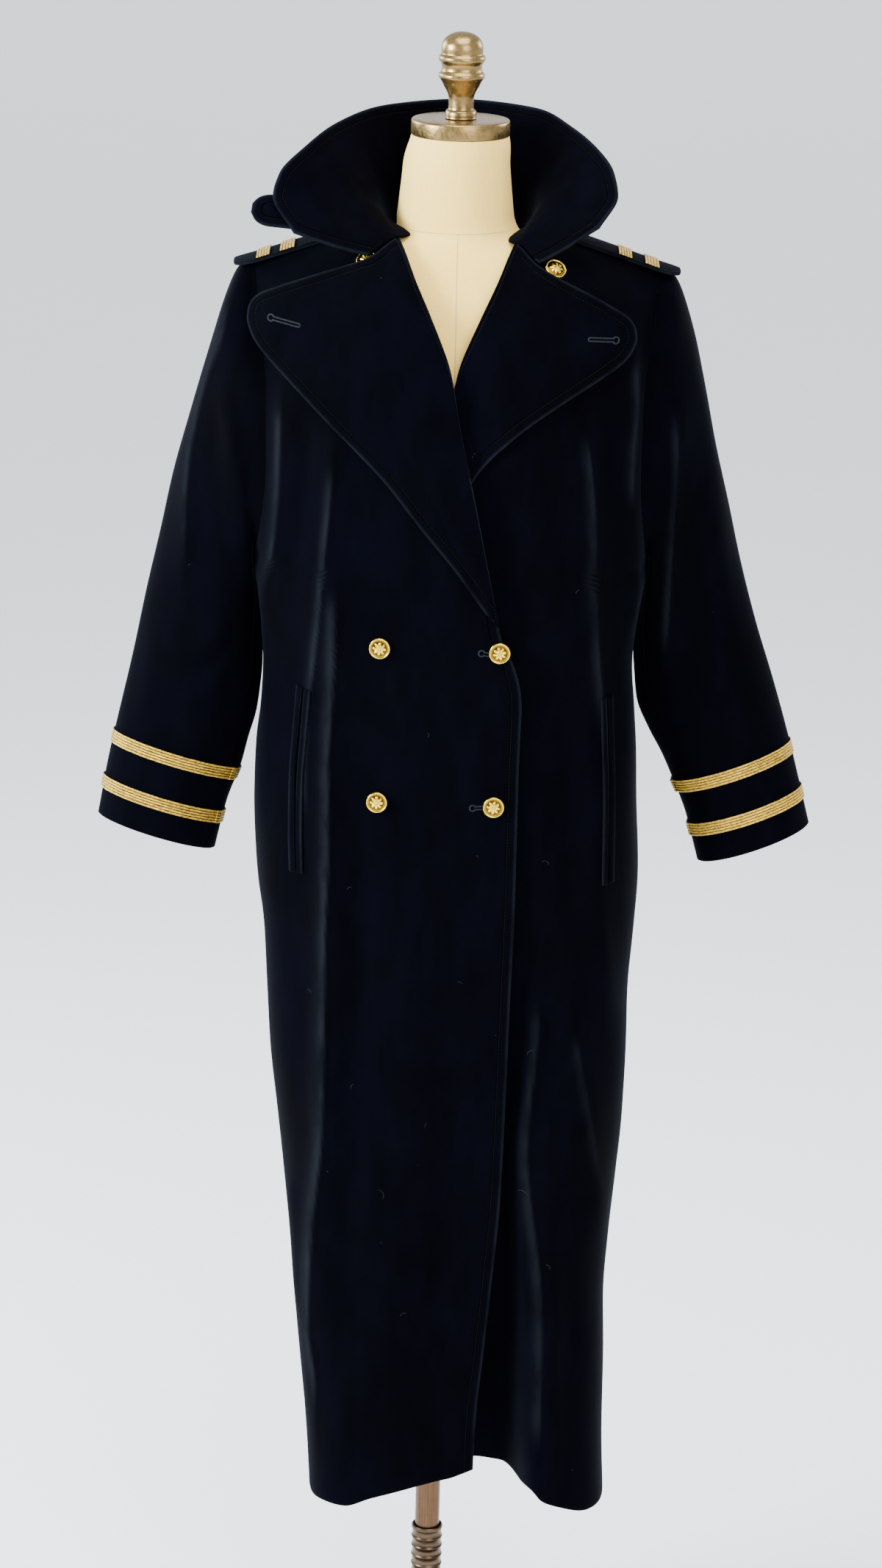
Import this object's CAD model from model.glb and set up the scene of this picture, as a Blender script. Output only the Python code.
"""Long black velvet double-breasted coat on a limbless dress form.

Metres, +Z up.  The front looks along -Y and the wearer's right side is at -X.
Each cloth piece is read from one body surface, refined to a fine grid, creased
by hand-placed ridges and troughs, and closed to a wall with rounded edges.
"""
import bisect
import logging
import math
from collections.abc import Callable, Sequence
from dataclasses import dataclass, field
from enum import Enum

import bpy
import numpy as np
from mathutils import Matrix, Vector


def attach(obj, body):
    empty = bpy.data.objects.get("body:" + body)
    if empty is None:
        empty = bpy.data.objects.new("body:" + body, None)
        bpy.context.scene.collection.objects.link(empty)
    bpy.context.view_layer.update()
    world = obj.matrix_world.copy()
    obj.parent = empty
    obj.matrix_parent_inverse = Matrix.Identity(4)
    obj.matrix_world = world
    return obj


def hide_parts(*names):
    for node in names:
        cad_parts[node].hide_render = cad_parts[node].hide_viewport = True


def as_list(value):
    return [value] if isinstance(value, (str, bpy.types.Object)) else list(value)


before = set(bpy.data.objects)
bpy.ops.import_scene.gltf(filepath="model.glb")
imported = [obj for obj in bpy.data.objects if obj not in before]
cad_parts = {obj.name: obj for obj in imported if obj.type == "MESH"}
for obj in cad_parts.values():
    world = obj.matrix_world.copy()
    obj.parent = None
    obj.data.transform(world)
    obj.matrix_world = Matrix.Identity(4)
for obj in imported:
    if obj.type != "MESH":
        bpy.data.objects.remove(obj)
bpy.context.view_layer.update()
LOG = logging.getLogger("coat")

Row = tuple[float, ...]
Place = Callable[[float, float], Vector]


class Side(Enum):
    """A side of the wearer: the right one lies at -X."""

    RIGHT = -1
    LEFT = 1

    @property
    def word(self) -> str:
        """The side's name in the names of pieces."""
        return self.name.lower()


class Held(Enum):
    """How a piece of cloth is carried."""

    HUNG = "hung"
    LAID = "laid"
    FOLDED = "folded"


# ------------------------------------------------------------ sizes
CLOTH, DOUBLED, BRAID, WELT = 0.0024, 0.0032, 0.0012, 0.0018
SEAM = 0.0002                        # half of the gap between two sewn pieces
NECK_X, NECK_Z = 0.074, 1.653        # inner end of the shoulder seam
TIP_X, TIP_Z = 0.207, 1.609          # outer end of the shoulder seam
CHEST_Z, SHOULDER_ROUND, UNDERARM_Z, BREAK_Z = 1.460, 2.2, 1.300, 1.244
NECK_BACK_Y, UNDERLAP, LEFT_LAPEL_SUNK = 0.067, 0.0096, 0.0044
TOP_ROWS, ARC_STEPS = 5, 30
STITCH_IN = 0.0098                   # topstitching, in from a free edge


# ------------------------------------------------------------ small tables
def ease(t: float) -> float:
    """0 to 1 with soft ends."""
    t = min(1.0, max(0.0, t))
    return t * t * (3 - 2 * t)


def smooth(t: np.ndarray) -> np.ndarray:
    """0 to 1 with soft ends, for a whole grid."""
    t = np.clip(t, 0.0, 1.0)
    return t * t * (3 - 2 * t)


def lerp(a, b, t: float):
    """Straight blend of numbers or vectors."""
    return a + (b - a) * t


class Table:
    """Named columns, read by a smooth curve that never overshoots its rows."""

    def __init__(self, names: str, rows: Sequence[Row]) -> None:
        """Keep the columns, sorted by the first one.

        Args:
            names: The columns' names, apart by spaces.
            rows: One tuple for each row.
        """
        ordered = sorted(rows)
        self.columns = {n: [row[i] for row in ordered] for i, n in enumerate(names.split())}
        self.keys = self.columns[names.split()[0]]

    def __call__(self, column: str, at: float) -> float:
        """Read one column.

        Args:
            column: The column's name.
            at: Where to read it, in the first column's terms.

        Returns:
            The smoothly blended value.
        """
        xs, ys = self.keys, self.columns[column]
        if at <= xs[0]:
            return ys[0]
        if at >= xs[-1]:
            return ys[-1]
        i = bisect.bisect_right(xs, at) - 1

        def slope(k: int) -> float:
            """Slope at a row, flat at a peak."""
            if k in (0, len(xs) - 1):
                a, b = (k, k + 1) if k == 0 else (k - 1, k)
                return (ys[b] - ys[a]) / (xs[b] - xs[a])
            before = (ys[k] - ys[k - 1]) / (xs[k] - xs[k - 1])
            after = (ys[k + 1] - ys[k]) / (xs[k + 1] - xs[k])
            return 0.0 if before * after <= 0 else 2 * before * after / (before + after)

        h = xs[i + 1] - xs[i]
        t = (at - xs[i]) / h
        return ((1 + 2 * t) * (1 - t) ** 2 * ys[i] + t * (1 - t) ** 2 * h * slope(i)
                + t * t * (3 - 2 * t) * ys[i + 1] + t * t * (t - 1) * h * slope(i + 1))


# Body of the coat: side lines, depth of front and back, squareness of the section
BODY = Table("z left right front back square", [
    (1.620, -0.217, 0.217, 0.132, 0.112, 2.4), (1.550, -0.211, 0.211, 0.138, 0.118, 2.4),
    (1.460, -0.206, 0.206, 0.145, 0.124, 2.5), (1.400, -0.205, 0.205, 0.148, 0.126, 2.5),
    (1.340, -0.205, 0.205, 0.149, 0.125, 2.6), (1.300, -0.2035, 0.2035, 0.148, 0.123, 2.6),
    (1.250, -0.196, 0.196, 0.146, 0.121, 2.8), (1.200, -0.192, 0.192, 0.144, 0.120, 2.8),
    (1.150, -0.194, 0.196, 0.142, 0.119, 2.8), (1.100, -0.199, 0.200, 0.141, 0.119, 2.9),
    (1.050, -0.200, 0.202, 0.140, 0.119, 3.0), (0.970, -0.196, 0.206, 0.138, 0.120, 3.0),
    (0.910, -0.188, 0.203, 0.136, 0.120, 3.0), (0.840, -0.184, 0.199, 0.134, 0.119, 3.0),
    (0.770, -0.180, 0.200, 0.132, 0.117, 3.0), (0.700, -0.172, 0.199, 0.131, 0.114, 3.1),
    (0.640, -0.165, 0.195, 0.130, 0.111, 3.2), (0.570, -0.157, 0.189, 0.129, 0.108, 3.4),
    (0.500, -0.151, 0.185, 0.128, 0.105, 3.6), (0.430, -0.144, 0.187, 0.127, 0.102, 3.8),
    (0.350, -0.136, 0.188, 0.126, 0.100, 4.0), (0.260, -0.130, 0.192, 0.126, 0.098, 4.2)])
RIGHT_EDGE = Table("z x", [
    (1.653, -0.074), (1.646, -0.064), (1.632, -0.055), (1.600, -0.041), (1.560, -0.022),
    (1.514, -0.003), (1.470, 0.006), (1.400, 0.022), (1.330, 0.037), (1.270, 0.050),
    (1.244, 0.056), (1.229, 0.065), (1.205, 0.073), (1.183, 0.076), (1.100, 0.075),
    (0.985, 0.075), (0.854, 0.073), (0.722, 0.071), (0.632, 0.069), (0.542, 0.063),
    (0.450, 0.056), (0.357, 0.049), (0.300, 0.048)])
ARMHOLE = Table("z x", [
    (1.610, 0.207), (1.550, 0.198), (1.480, 0.190), (1.400, 0.189), (1.340, 0.196),
    (1.315, 0.2005), (1.300, 0.2035)])
RIGHT_HEM = Table("x z", [
    (-0.128, 0.270), (-0.112, 0.273), (-0.091, 0.274), (-0.062, 0.284), (-0.024, 0.291),
    (0.016, 0.298), (0.043, 0.305), (0.050, 0.310)])
LEFT_HEM = Table("x z", [
    (-0.060, 0.300), (0.050, 0.298), (0.095, 0.297), (0.114, 0.300), (0.122, 0.289),
    (0.147, 0.278), (0.171, 0.270), (0.192, 0.268)])
BACK_HEM = Table("x z", [(-0.128, 0.270), (0.000, 0.276), (0.192, 0.268)])
SWING = Table("z y", [(1.000, 0.0), (0.800, 0.005), (0.600, 0.015), (0.450, 0.027), (0.300, 0.036)])
TURN_IN = Table("z y", [(0.950, 0.0), (0.800, 0.010), (0.600, 0.028), (0.450, 0.050), (0.300, 0.075)])
TURN_X = Table("z x", [
    (0.888, 0.106), (0.770, 0.104), (0.700, 0.100), (0.643, 0.102), (0.553, 0.111),
    (0.484, 0.115), (0.345, 0.115), (0.298, 0.118)])
LOW_LEVELS = [1.460, 1.400, 1.346, 1.318, 1.300, 1.262, 1.225, 1.190, 1.140, 1.070, 0.980, 0.880,
              0.770, 0.660, 0.550, 0.450, 0.360, 0.280]


# ------------------------------------------------------------ creases
@dataclass(frozen=True)
class Crease:
    """A ridge (or trough, if its height is negative) along a line in the front view.

    Attributes:
        height: How far it lifts the cloth.
        wide: Half widths to the left and right of its line, going along it.
        fade: Length over which each end dies away.
        line: Its points as (z, x).
    """

    height: float
    wide: tuple[float, float]
    fade: tuple[float, float]
    line: tuple[tuple[float, float], ...]

    def lift(self, x: np.ndarray, z: np.ndarray) -> np.ndarray:
        """How far it lifts each point of a grid.

        Args:
            x: The points' x.
            z: The points' z.

        Returns:
            The lift of each point, in metres.
        """
        way = np.array([(b, a) for a, b in self.line], float)
        for _ in range(2):
            way = doubled(way, 0)
        best, along = np.full(x.shape, 9.0), np.zeros(x.shape)
        side, gone = np.zeros(x.shape), 0.0
        for (x0, z0), (x1, z1) in zip(way, way[1:]):
            dx, dz = x1 - x0, z1 - z0
            length = math.hypot(dx, dz)
            t = np.clip(((x - x0) * dx + (z - z0) * dz) / length ** 2, 0, 1)
            ox, oz = x - (x0 + t * dx), z - (z0 + t * dz)
            gap = np.hypot(ox, oz)
            near = gap < best
            best = np.where(near, gap, best)
            along = np.where(near, gone + t * length, along)
            side = np.where(near, dx * oz - dz * ox, side)
            gone += length
        wide = np.where(side > 0, self.wide[0], self.wide[1])
        ends = smooth(along / self.fade[0]) * smooth((gone - along) / self.fade[1])
        return self.height * ends * np.exp(-(best / wide) ** 2)


def crease(height: float, left: float, right: float, start: float, stop: float,
           *line: tuple[float, float]) -> Crease:
    """Write a crease in one line: height, half widths and end fades in millimetres."""
    return Crease(height / 1000, (left / 1000, right / 1000), (start / 1000, stop / 1000), line)


RIGHT_CREASES = (
    crease(7.0, 14, 12, 60, 60, (1.520, -0.168), (1.370, -0.171), (1.283, -0.181),
           (1.230, -0.187), (1.185, -0.189), (1.100, -0.191)),
    crease(5.0, 16, 12, 80, 80, (1.500, -0.114), (1.378, -0.121), (1.264, -0.129),
           (1.162, -0.139), (1.040, -0.143)),
    crease(8.5, 20, 14, 160, 160, (1.400, -0.122), (1.253, -0.112), (1.113, -0.117),
           (0.933, -0.118), (0.691, -0.118), (0.533, -0.124), (0.400, -0.122)),
    crease(2.6, 3.5, 17, 70, 160, (1.337, -0.120), (1.296, -0.113), (1.253, -0.112), (1.183, -0.114),
           (1.113, -0.117), (1.030, -0.116), (0.933, -0.118), (0.802, -0.117), (0.691, -0.118),
           (0.623, -0.123), (0.533, -0.127), (0.464, -0.129), (0.417, -0.124), (0.278, -0.122)),
    crease(2.2, 3.5, 13, 60, 110, (1.462, -0.116), (1.377, -0.121), (1.333, -0.124), (1.264, -0.129),
           (1.215, -0.134), (1.162, -0.139), (1.071, -0.142), (0.994, -0.141)),
    crease(2.0, 3.5, 12, 50, 70, (1.507, -0.170), (1.452, -0.169), (1.368, -0.171), (1.324, -0.176),
           (1.283, -0.183), (1.243, -0.190)),
    crease(-4.0, 22, 22, 120, 120, (1.300, -0.155), (0.900, -0.150), (0.640, -0.147)),
    crease(3.2, 9, 13, 60, 60, (0.660, -0.152), (0.577, -0.155), (0.508, -0.148), (0.462, -0.133)),
    crease(-3.0, 14, 20, 200, 200, (1.120, -0.088), (0.850, -0.082), (0.500, -0.090), (0.340, -0.086)),
    crease(2.6, 26, 20, 160, 160, (1.020, -0.036), (0.760, -0.030), (0.480, -0.040), (0.300, -0.052)),
    crease(-2.0, 18, 22, 160, 120, (0.900, 0.018), (0.640, 0.012), (0.400, 0.002), (0.280, 0.000)),
    crease(1.6, 12, 9, 40, 70, (1.236, -0.060), (1.180, -0.045), (1.105, -0.040)),
    crease(1.4, 8, 10, 20, 40, (1.238, 0.040), (1.226, 0.000), (1.220, -0.040)),
    crease(-1.6, 10, 12, 30, 60, (1.214, 0.046), (1.160, 0.024), (1.100, 0.022)),
    crease(1.2, 7, 9, 20, 40, (1.075, 0.036), (1.066, 0.000), (1.070, -0.044)),
    crease(-1.8, 9, 9, 40, 60, (1.470, -0.142), (1.380, -0.150), (1.280, -0.162)))
LEFT_CREASES = (
    crease(6.0, 12, 14, 60, 60, (1.580, 0.176), (1.435, 0.177), (1.330, 0.182), (1.220, 0.185)),
    crease(5.0, 13, 16, 80, 80, (1.520, 0.124), (1.400, 0.138), (1.239, 0.148), (1.100, 0.155),
           (0.981, 0.159), (0.806, 0.178)),
    crease(2.0, 3.5, 13, 60, 110, (1.495, 0.126), (1.400, 0.139), (1.321, 0.143), (1.239, 0.148),
           (1.158, 0.157), (1.076, 0.165)),
    crease(1.8, 3.5, 12, 50, 80, (1.561, 0.176), (1.490, 0.179), (1.435, 0.177), (1.375, 0.178),
           (1.330, 0.186)),
    crease(1.5, 3.5, 16, 60, 90, (0.888, 0.100), (0.822, 0.103), (0.711, 0.096), (0.643, 0.099),
           (0.553, 0.112), (0.484, 0.116), (0.414, 0.117), (0.345, 0.118), (0.298, 0.122)),
    crease(1.1, 3.5, 14, 60, 80, (0.863, 0.134), (0.774, 0.149), (0.690, 0.165), (0.600, 0.177)),
    crease(4.2, 15, 17, 70, 70, (0.900, 0.131), (0.774, 0.149), (0.690, 0.164), (0.560, 0.178)),
    crease(-4.0, 20, 20, 120, 120, (1.200, 0.120), (0.900, 0.140)),
    crease(2.4, 9, 12, 60, 60, (0.888, 0.098), (0.822, 0.103), (0.711, 0.094), (0.643, 0.097)),
    crease(-2.6, 12, 12, 80, 120, (0.820, 0.122), (0.640, 0.134), (0.480, 0.146), (0.330, 0.150)),
    crease(3.0, 12, 14, 90, 120, (0.600, 0.136), (0.484, 0.132), (0.345, 0.136), (0.262, 0.142)),
    crease(2.4, 9, 12, 30, 60, (1.120, 0.100), (1.020, 0.098), (0.920, 0.104)))
BACK_CREASES = (
    crease(8.0, 26, 26, 160, 60, (1.150, -0.070), (0.700, -0.062), (0.200, -0.056)),
    crease(9.0, 28, 28, 160, 60, (1.180, 0.066), (0.700, 0.078), (0.200, 0.096)),
    crease(-6.0, 26, 26, 180, 60, (1.080, -0.010), (0.600, 0.004), (0.200, 0.016)),
    crease(6.0, 18, 18, 140, 140, (1.480, -0.128), (1.200, -0.140), (1.000, -0.146)),
    crease(6.0, 18, 18, 140, 140, (1.480, 0.132), (1.200, 0.142), (1.000, 0.150)),
    crease(1.8, 9, 6, 120, 160, (1.100, -0.071), (0.820, -0.064), (0.520, -0.061), (0.300, -0.057)),
    crease(1.9, 6, 10, 140, 160, (1.060, 0.068), (0.760, 0.076), (0.480, 0.086), (0.290, 0.092)),
    crease(-2.6, 16, 18, 120, 80, (0.900, -0.108), (0.600, -0.100), (0.280, -0.096)),
    crease(2.2, 10, 14, 60, 80, (1.560, -0.030), (1.500, -0.070), (1.430, -0.104)),
    crease(2.0, 12, 10, 60, 80, (1.560, 0.036), (1.500, 0.076), (1.420, 0.106)),
    crease(-1.8, 12, 12, 30, 60, (1.320, -0.060), (1.300, 0.000), (1.312, 0.060)),
    crease(1.8, 10, 13, 60, 60, (1.260, -0.090), (1.236, -0.010), (1.250, 0.080)))
SLEEVE_CREASES = {
    Side.RIGHT: (
        crease(3.4, 12, 12, 60, 70, (1.609, -0.220), (1.531, -0.235), (1.483, -0.251), (1.435, -0.262),
               (1.394, -0.268), (1.333, -0.271), (1.252, -0.271)),
        crease(1.6, 3.5, 12, 60, 90, (1.609, -0.220), (1.579, -0.225), (1.531, -0.235),
               (1.483, -0.251), (1.435, -0.262), (1.394, -0.268), (1.333, -0.271), (1.252, -0.271)),
        crease(2.8, 9, 11, 50, 60, (1.514, -0.239), (1.458, -0.229), (1.410, -0.220), (1.358, -0.216),
               (1.297, -0.206)),
        crease(-2.2, 10, 12, 40, 60, (1.470, -0.243), (1.400, -0.240), (1.320, -0.240)),
        crease(2.6, 9, 12, 40, 50, (1.262, -0.214), (1.225, -0.240), (1.196, -0.282)),
        crease(-2.4, 8, 9, 40, 50, (1.236, -0.212), (1.200, -0.240), (1.172, -0.276)),
        crease(2.2, 9, 10, 40, 50, (1.205, -0.216), (1.170, -0.244), (1.146, -0.290)),
        crease(1.6, 10, 12, 40, 30, (1.240, -0.300), (1.180, -0.308), (1.120, -0.318))),
    Side.LEFT: (
        crease(3.2, 12, 12, 60, 70, (1.507, 0.219), (1.427, 0.226), (1.346, 0.225), (1.264, 0.225),
               (1.169, 0.225)),
        crease(1.5, 3.5, 11, 60, 80, (1.507, 0.219), (1.427, 0.226), (1.346, 0.225), (1.264, 0.225),
               (1.169, 0.225)),
        crease(2.8, 11, 11, 70, 90, (1.560, 0.240), (1.460, 0.258), (1.350, 0.274), (1.240, 0.292)),
        crease(2.4, 9, 10, 30, 40, (1.180, 0.226), (1.149, 0.236), (1.107, 0.249), (1.082, 0.247)),
        crease(-2.2, 9, 9, 40, 50, (1.225, 0.222), (1.185, 0.252), (1.150, 0.296)),
        crease(2.4, 10, 9, 40, 50, (1.252, 0.226), (1.212, 0.258), (1.180, 0.302)),
        crease(1.6, 9, 10, 40, 50, (1.200, 0.232), (1.162, 0.262), (1.135, 0.305)),
        crease(-1.6, 10, 12, 60, 60, (1.440, 0.236), (1.340, 0.246), (1.260, 0.254)))}
SLEEVE_BACK_CREASES = {
    Side.RIGHT: (
        crease(3.0, 13, 15, 60, 80, (1.560, -0.236), (1.440, -0.256), (1.330, -0.270)),
        crease(3.0, 10, 12, 40, 50, (1.250, -0.220), (1.230, -0.262), (1.214, -0.300)),
        crease(-2.4, 9, 10, 40, 50, (1.214, -0.222), (1.196, -0.260), (1.180, -0.300)),
        crease(2.4, 10, 10, 40, 50, (1.180, -0.230), (1.166, -0.266), (1.150, -0.310))),
    Side.LEFT: (
        crease(3.0, 13, 15, 60, 80, (1.550, 0.238), (1.430, 0.258), (1.320, 0.276)),
        crease(3.0, 10, 12, 40, 50, (1.240, 0.226), (1.222, 0.266), (1.204, 0.306)),
        crease(-2.2, 9, 10, 40, 50, (1.206, 0.232), (1.190, 0.270), (1.170, 0.312)),
        crease(2.4, 10, 10, 40, 50, (1.172, 0.242), (1.158, 0.276), (1.142, 0.318)))}


# ------------------------------------------------------------ body surface
def shoulder_z(x: float) -> float:
    """Height of the shoulder ridge over a distance from the centre."""
    return NECK_Z - (abs(x) - NECK_X) * (NECK_Z - TIP_Z) / (TIP_X - NECK_X)


def shoulder_cap(x: float, z: float) -> float:
    """1 on the chest, 0 on the shoulder ridge."""
    w = (z - CHEST_Z) / (shoulder_z(x) - CHEST_Z)
    return 1.0 if w <= 0 else max(0.0, 1 - min(1.0, w) ** SHOULDER_ROUND) ** (1 / SHOULDER_ROUND)


def section(z: float, side: int) -> tuple[float, float, float, float]:
    """Centre, half width, depth and squareness of the body at a level.

    Args:
        z: The level.
        side: -1 for the front, +1 for the back.

    Returns:
        Those four numbers.
    """
    left, right = BODY("left", z), BODY("right", z)
    return ((left + right) / 2, (right - left) / 2, BODY("front" if side < 0 else "back", z),
            BODY("square", z))


def body_point(x: float, z: float, side: int) -> Vector:
    """Point of the uncreased body surface over (x, z).

    Args:
        x: Across.
        z: Up.
        side: -1 for the front, +1 for the back.

    Returns:
        The point.
    """
    centre, half, depth, n = section(z, side)
    u = min(1.0, max(-1.0, (x - centre) / half))
    return Vector((x, side * depth * (1 - abs(u) ** n) ** (1 / n) * shoulder_cap(x, z), z))


def across(x_from: float, x_to: float, z: float, s: float) -> float:
    """x at a share of the length round the section.

    Args:
        x_from: Where the length starts.
        x_to: Where it ends.
        z: The section's level.
        s: The share, 0 to 1.

    Returns:
        The x there.
    """
    centre, half, depth, n = section(z, -1)

    def place(x: float) -> float:
        """An even scale round the half section: 0 at the left side, 1 at the right."""
        u = min(1.0, max(-1.0, (x - centre) / half))
        w = math.acos(math.copysign(abs(u) ** (n / 2), u)) / math.pi
        a, b = w ** (2 / n), (1 - w) ** (2 / n)
        return a / (a + b)

    def spot(p: float) -> tuple[float, float]:
        """The point of the section at a place of that scale."""
        a, b = p ** (n / 2), (1 - p) ** (n / 2)
        turn = math.pi * a / (a + b)
        c = math.cos(turn)
        return (centre + half * math.copysign(abs(c) ** (2 / n), c),
                depth * max(0.0, math.sin(turn)) ** (2 / n))

    first, last = place(x_from), place(x_to)
    places = [lerp(first, last, k / ARC_STEPS) for k in range(ARC_STEPS + 1)]
    spots = [spot(p) for p in places]
    lengths = [0.0]
    for a, b in zip(spots, spots[1:]):
        lengths.append(lengths[-1] + math.dist(a, b))
    goal = min(1.0, max(0.0, s)) * lengths[-1]
    i = min(bisect.bisect_left(lengths, goal, 1), ARC_STEPS)
    share = (goal - lengths[i - 1]) / (lengths[i] - lengths[i - 1])
    return spot(lerp(places[i - 1], places[i], share))[0]


def outer_x(z: float, side: int) -> float:
    """Where a panel ends at its outer side: the armhole, or the side seam under it."""
    return side * (ARMHOLE("x", z) if z > UNDERARM_Z else 1.0)


def right_shift(x: float, z: float) -> float:
    """The free edge of the right front swings back towards the hem."""
    return SWING("y", z) * ease((x + 0.10) / 0.15)


def left_shift(x: float, z: float) -> float:
    """The left front lies behind the right one and turns in towards the hem."""
    edge = RIGHT_EDGE("x", z)
    under = UNDERLAP * (1 - ease((x - edge - 0.006) / 0.066))
    inward = TURN_IN("y", z) * ease((TURN_X("x", z) - 0.003 - x) / 0.034)
    return under + inward + right_shift(min(x, edge), z) * (1 - ease((x - edge) / 0.05)) * 0.2


def panel_point(s: float, t: float, side: int, x_out: Callable[[float], float],
                x_in: Callable[[float], float], hem: Table,
                shift: Callable[[float, float], float] | None = None) -> Vector:
    """Point of a body panel.

    Args:
        s: Share across, from the outer edge to the inner one.
        t: Row, from the shoulder seam (0) over the chest (TOP_ROWS) to the hem.
        side: -1 for a front, +1 for the back.
        x_out: Outer edge at a level.
        x_in: Inner edge at a level.
        hem: The hem's line.
        shift: How far the cloth lies back at a place.

    Returns:
        The point.
    """
    if t <= TOP_ROWS:
        down = math.cos(max(t, 0.0) / TOP_ROWS * math.pi / 2) ** (2 / SHOULDER_ROUND)
        z_out, z_in = lerp(CHEST_Z, TIP_Z, down), lerp(CHEST_Z, NECK_Z, down)
        x = across(x_out(z_out), x_in(z_in), lerp(z_out, z_in, s), s)
        z = lerp(CHEST_Z, shoulder_z(x), down)
    else:
        k = min(t - TOP_ROWS, len(LOW_LEVELS) - 1.0)
        i = min(int(k), len(LOW_LEVELS) - 2)
        level = lerp(LOW_LEVELS[i], LOW_LEVELS[i + 1], k - i)
        x = across(x_out(level), x_in(level), level, s)
        share = ease((0.62 - level) / (0.62 - LOW_LEVELS[-1]))
        z = level + (hem("z", x) - LOW_LEVELS[-1]) * share
        x = across(x_out(z), x_in(z), z, s)
    point = body_point(x, z, side)
    if shift:
        point.y += shift(x, z)
    return point


# ------------------------------------------------------------ fine grids
def doubled(grid: np.ndarray, axis: int, closed: bool = False) -> np.ndarray:
    """Put a smoothly blended point between each two points.

    Args:
        grid: The points.
        axis: The direction to refine.
        closed: True if the last point meets the first.

    Returns:
        The finer points.
    """
    g = np.moveaxis(grid, axis, 0)
    if closed:
        middle = (9 * (g + np.roll(g, -1, 0)) - np.roll(g, 1, 0) - np.roll(g, -2, 0)) / 16
        fine = np.empty((2 * len(g), *g.shape[1:]))
    else:
        long = np.concatenate([[2 * g[0] - g[1]], g, [2 * g[-1] - g[-2]]])
        middle = (9 * (g[:-1] + g[1:]) - long[:-3] - long[3:]) / 16
        fine = np.empty((2 * len(g) - 1, *g.shape[1:]))
    fine[0::2], fine[1::2] = g, middle
    return np.moveaxis(fine, 0, axis)


def unit(v: np.ndarray) -> np.ndarray:
    """Vectors of length one."""
    return v / np.maximum(np.linalg.norm(v, axis=-1, keepdims=True), 1e-12)


def even(start: float, stop: float, count: int) -> list[float]:
    """Evenly spaced numbers, both ends included."""
    return [float(v) for v in np.linspace(start, stop, count + 1)]


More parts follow.
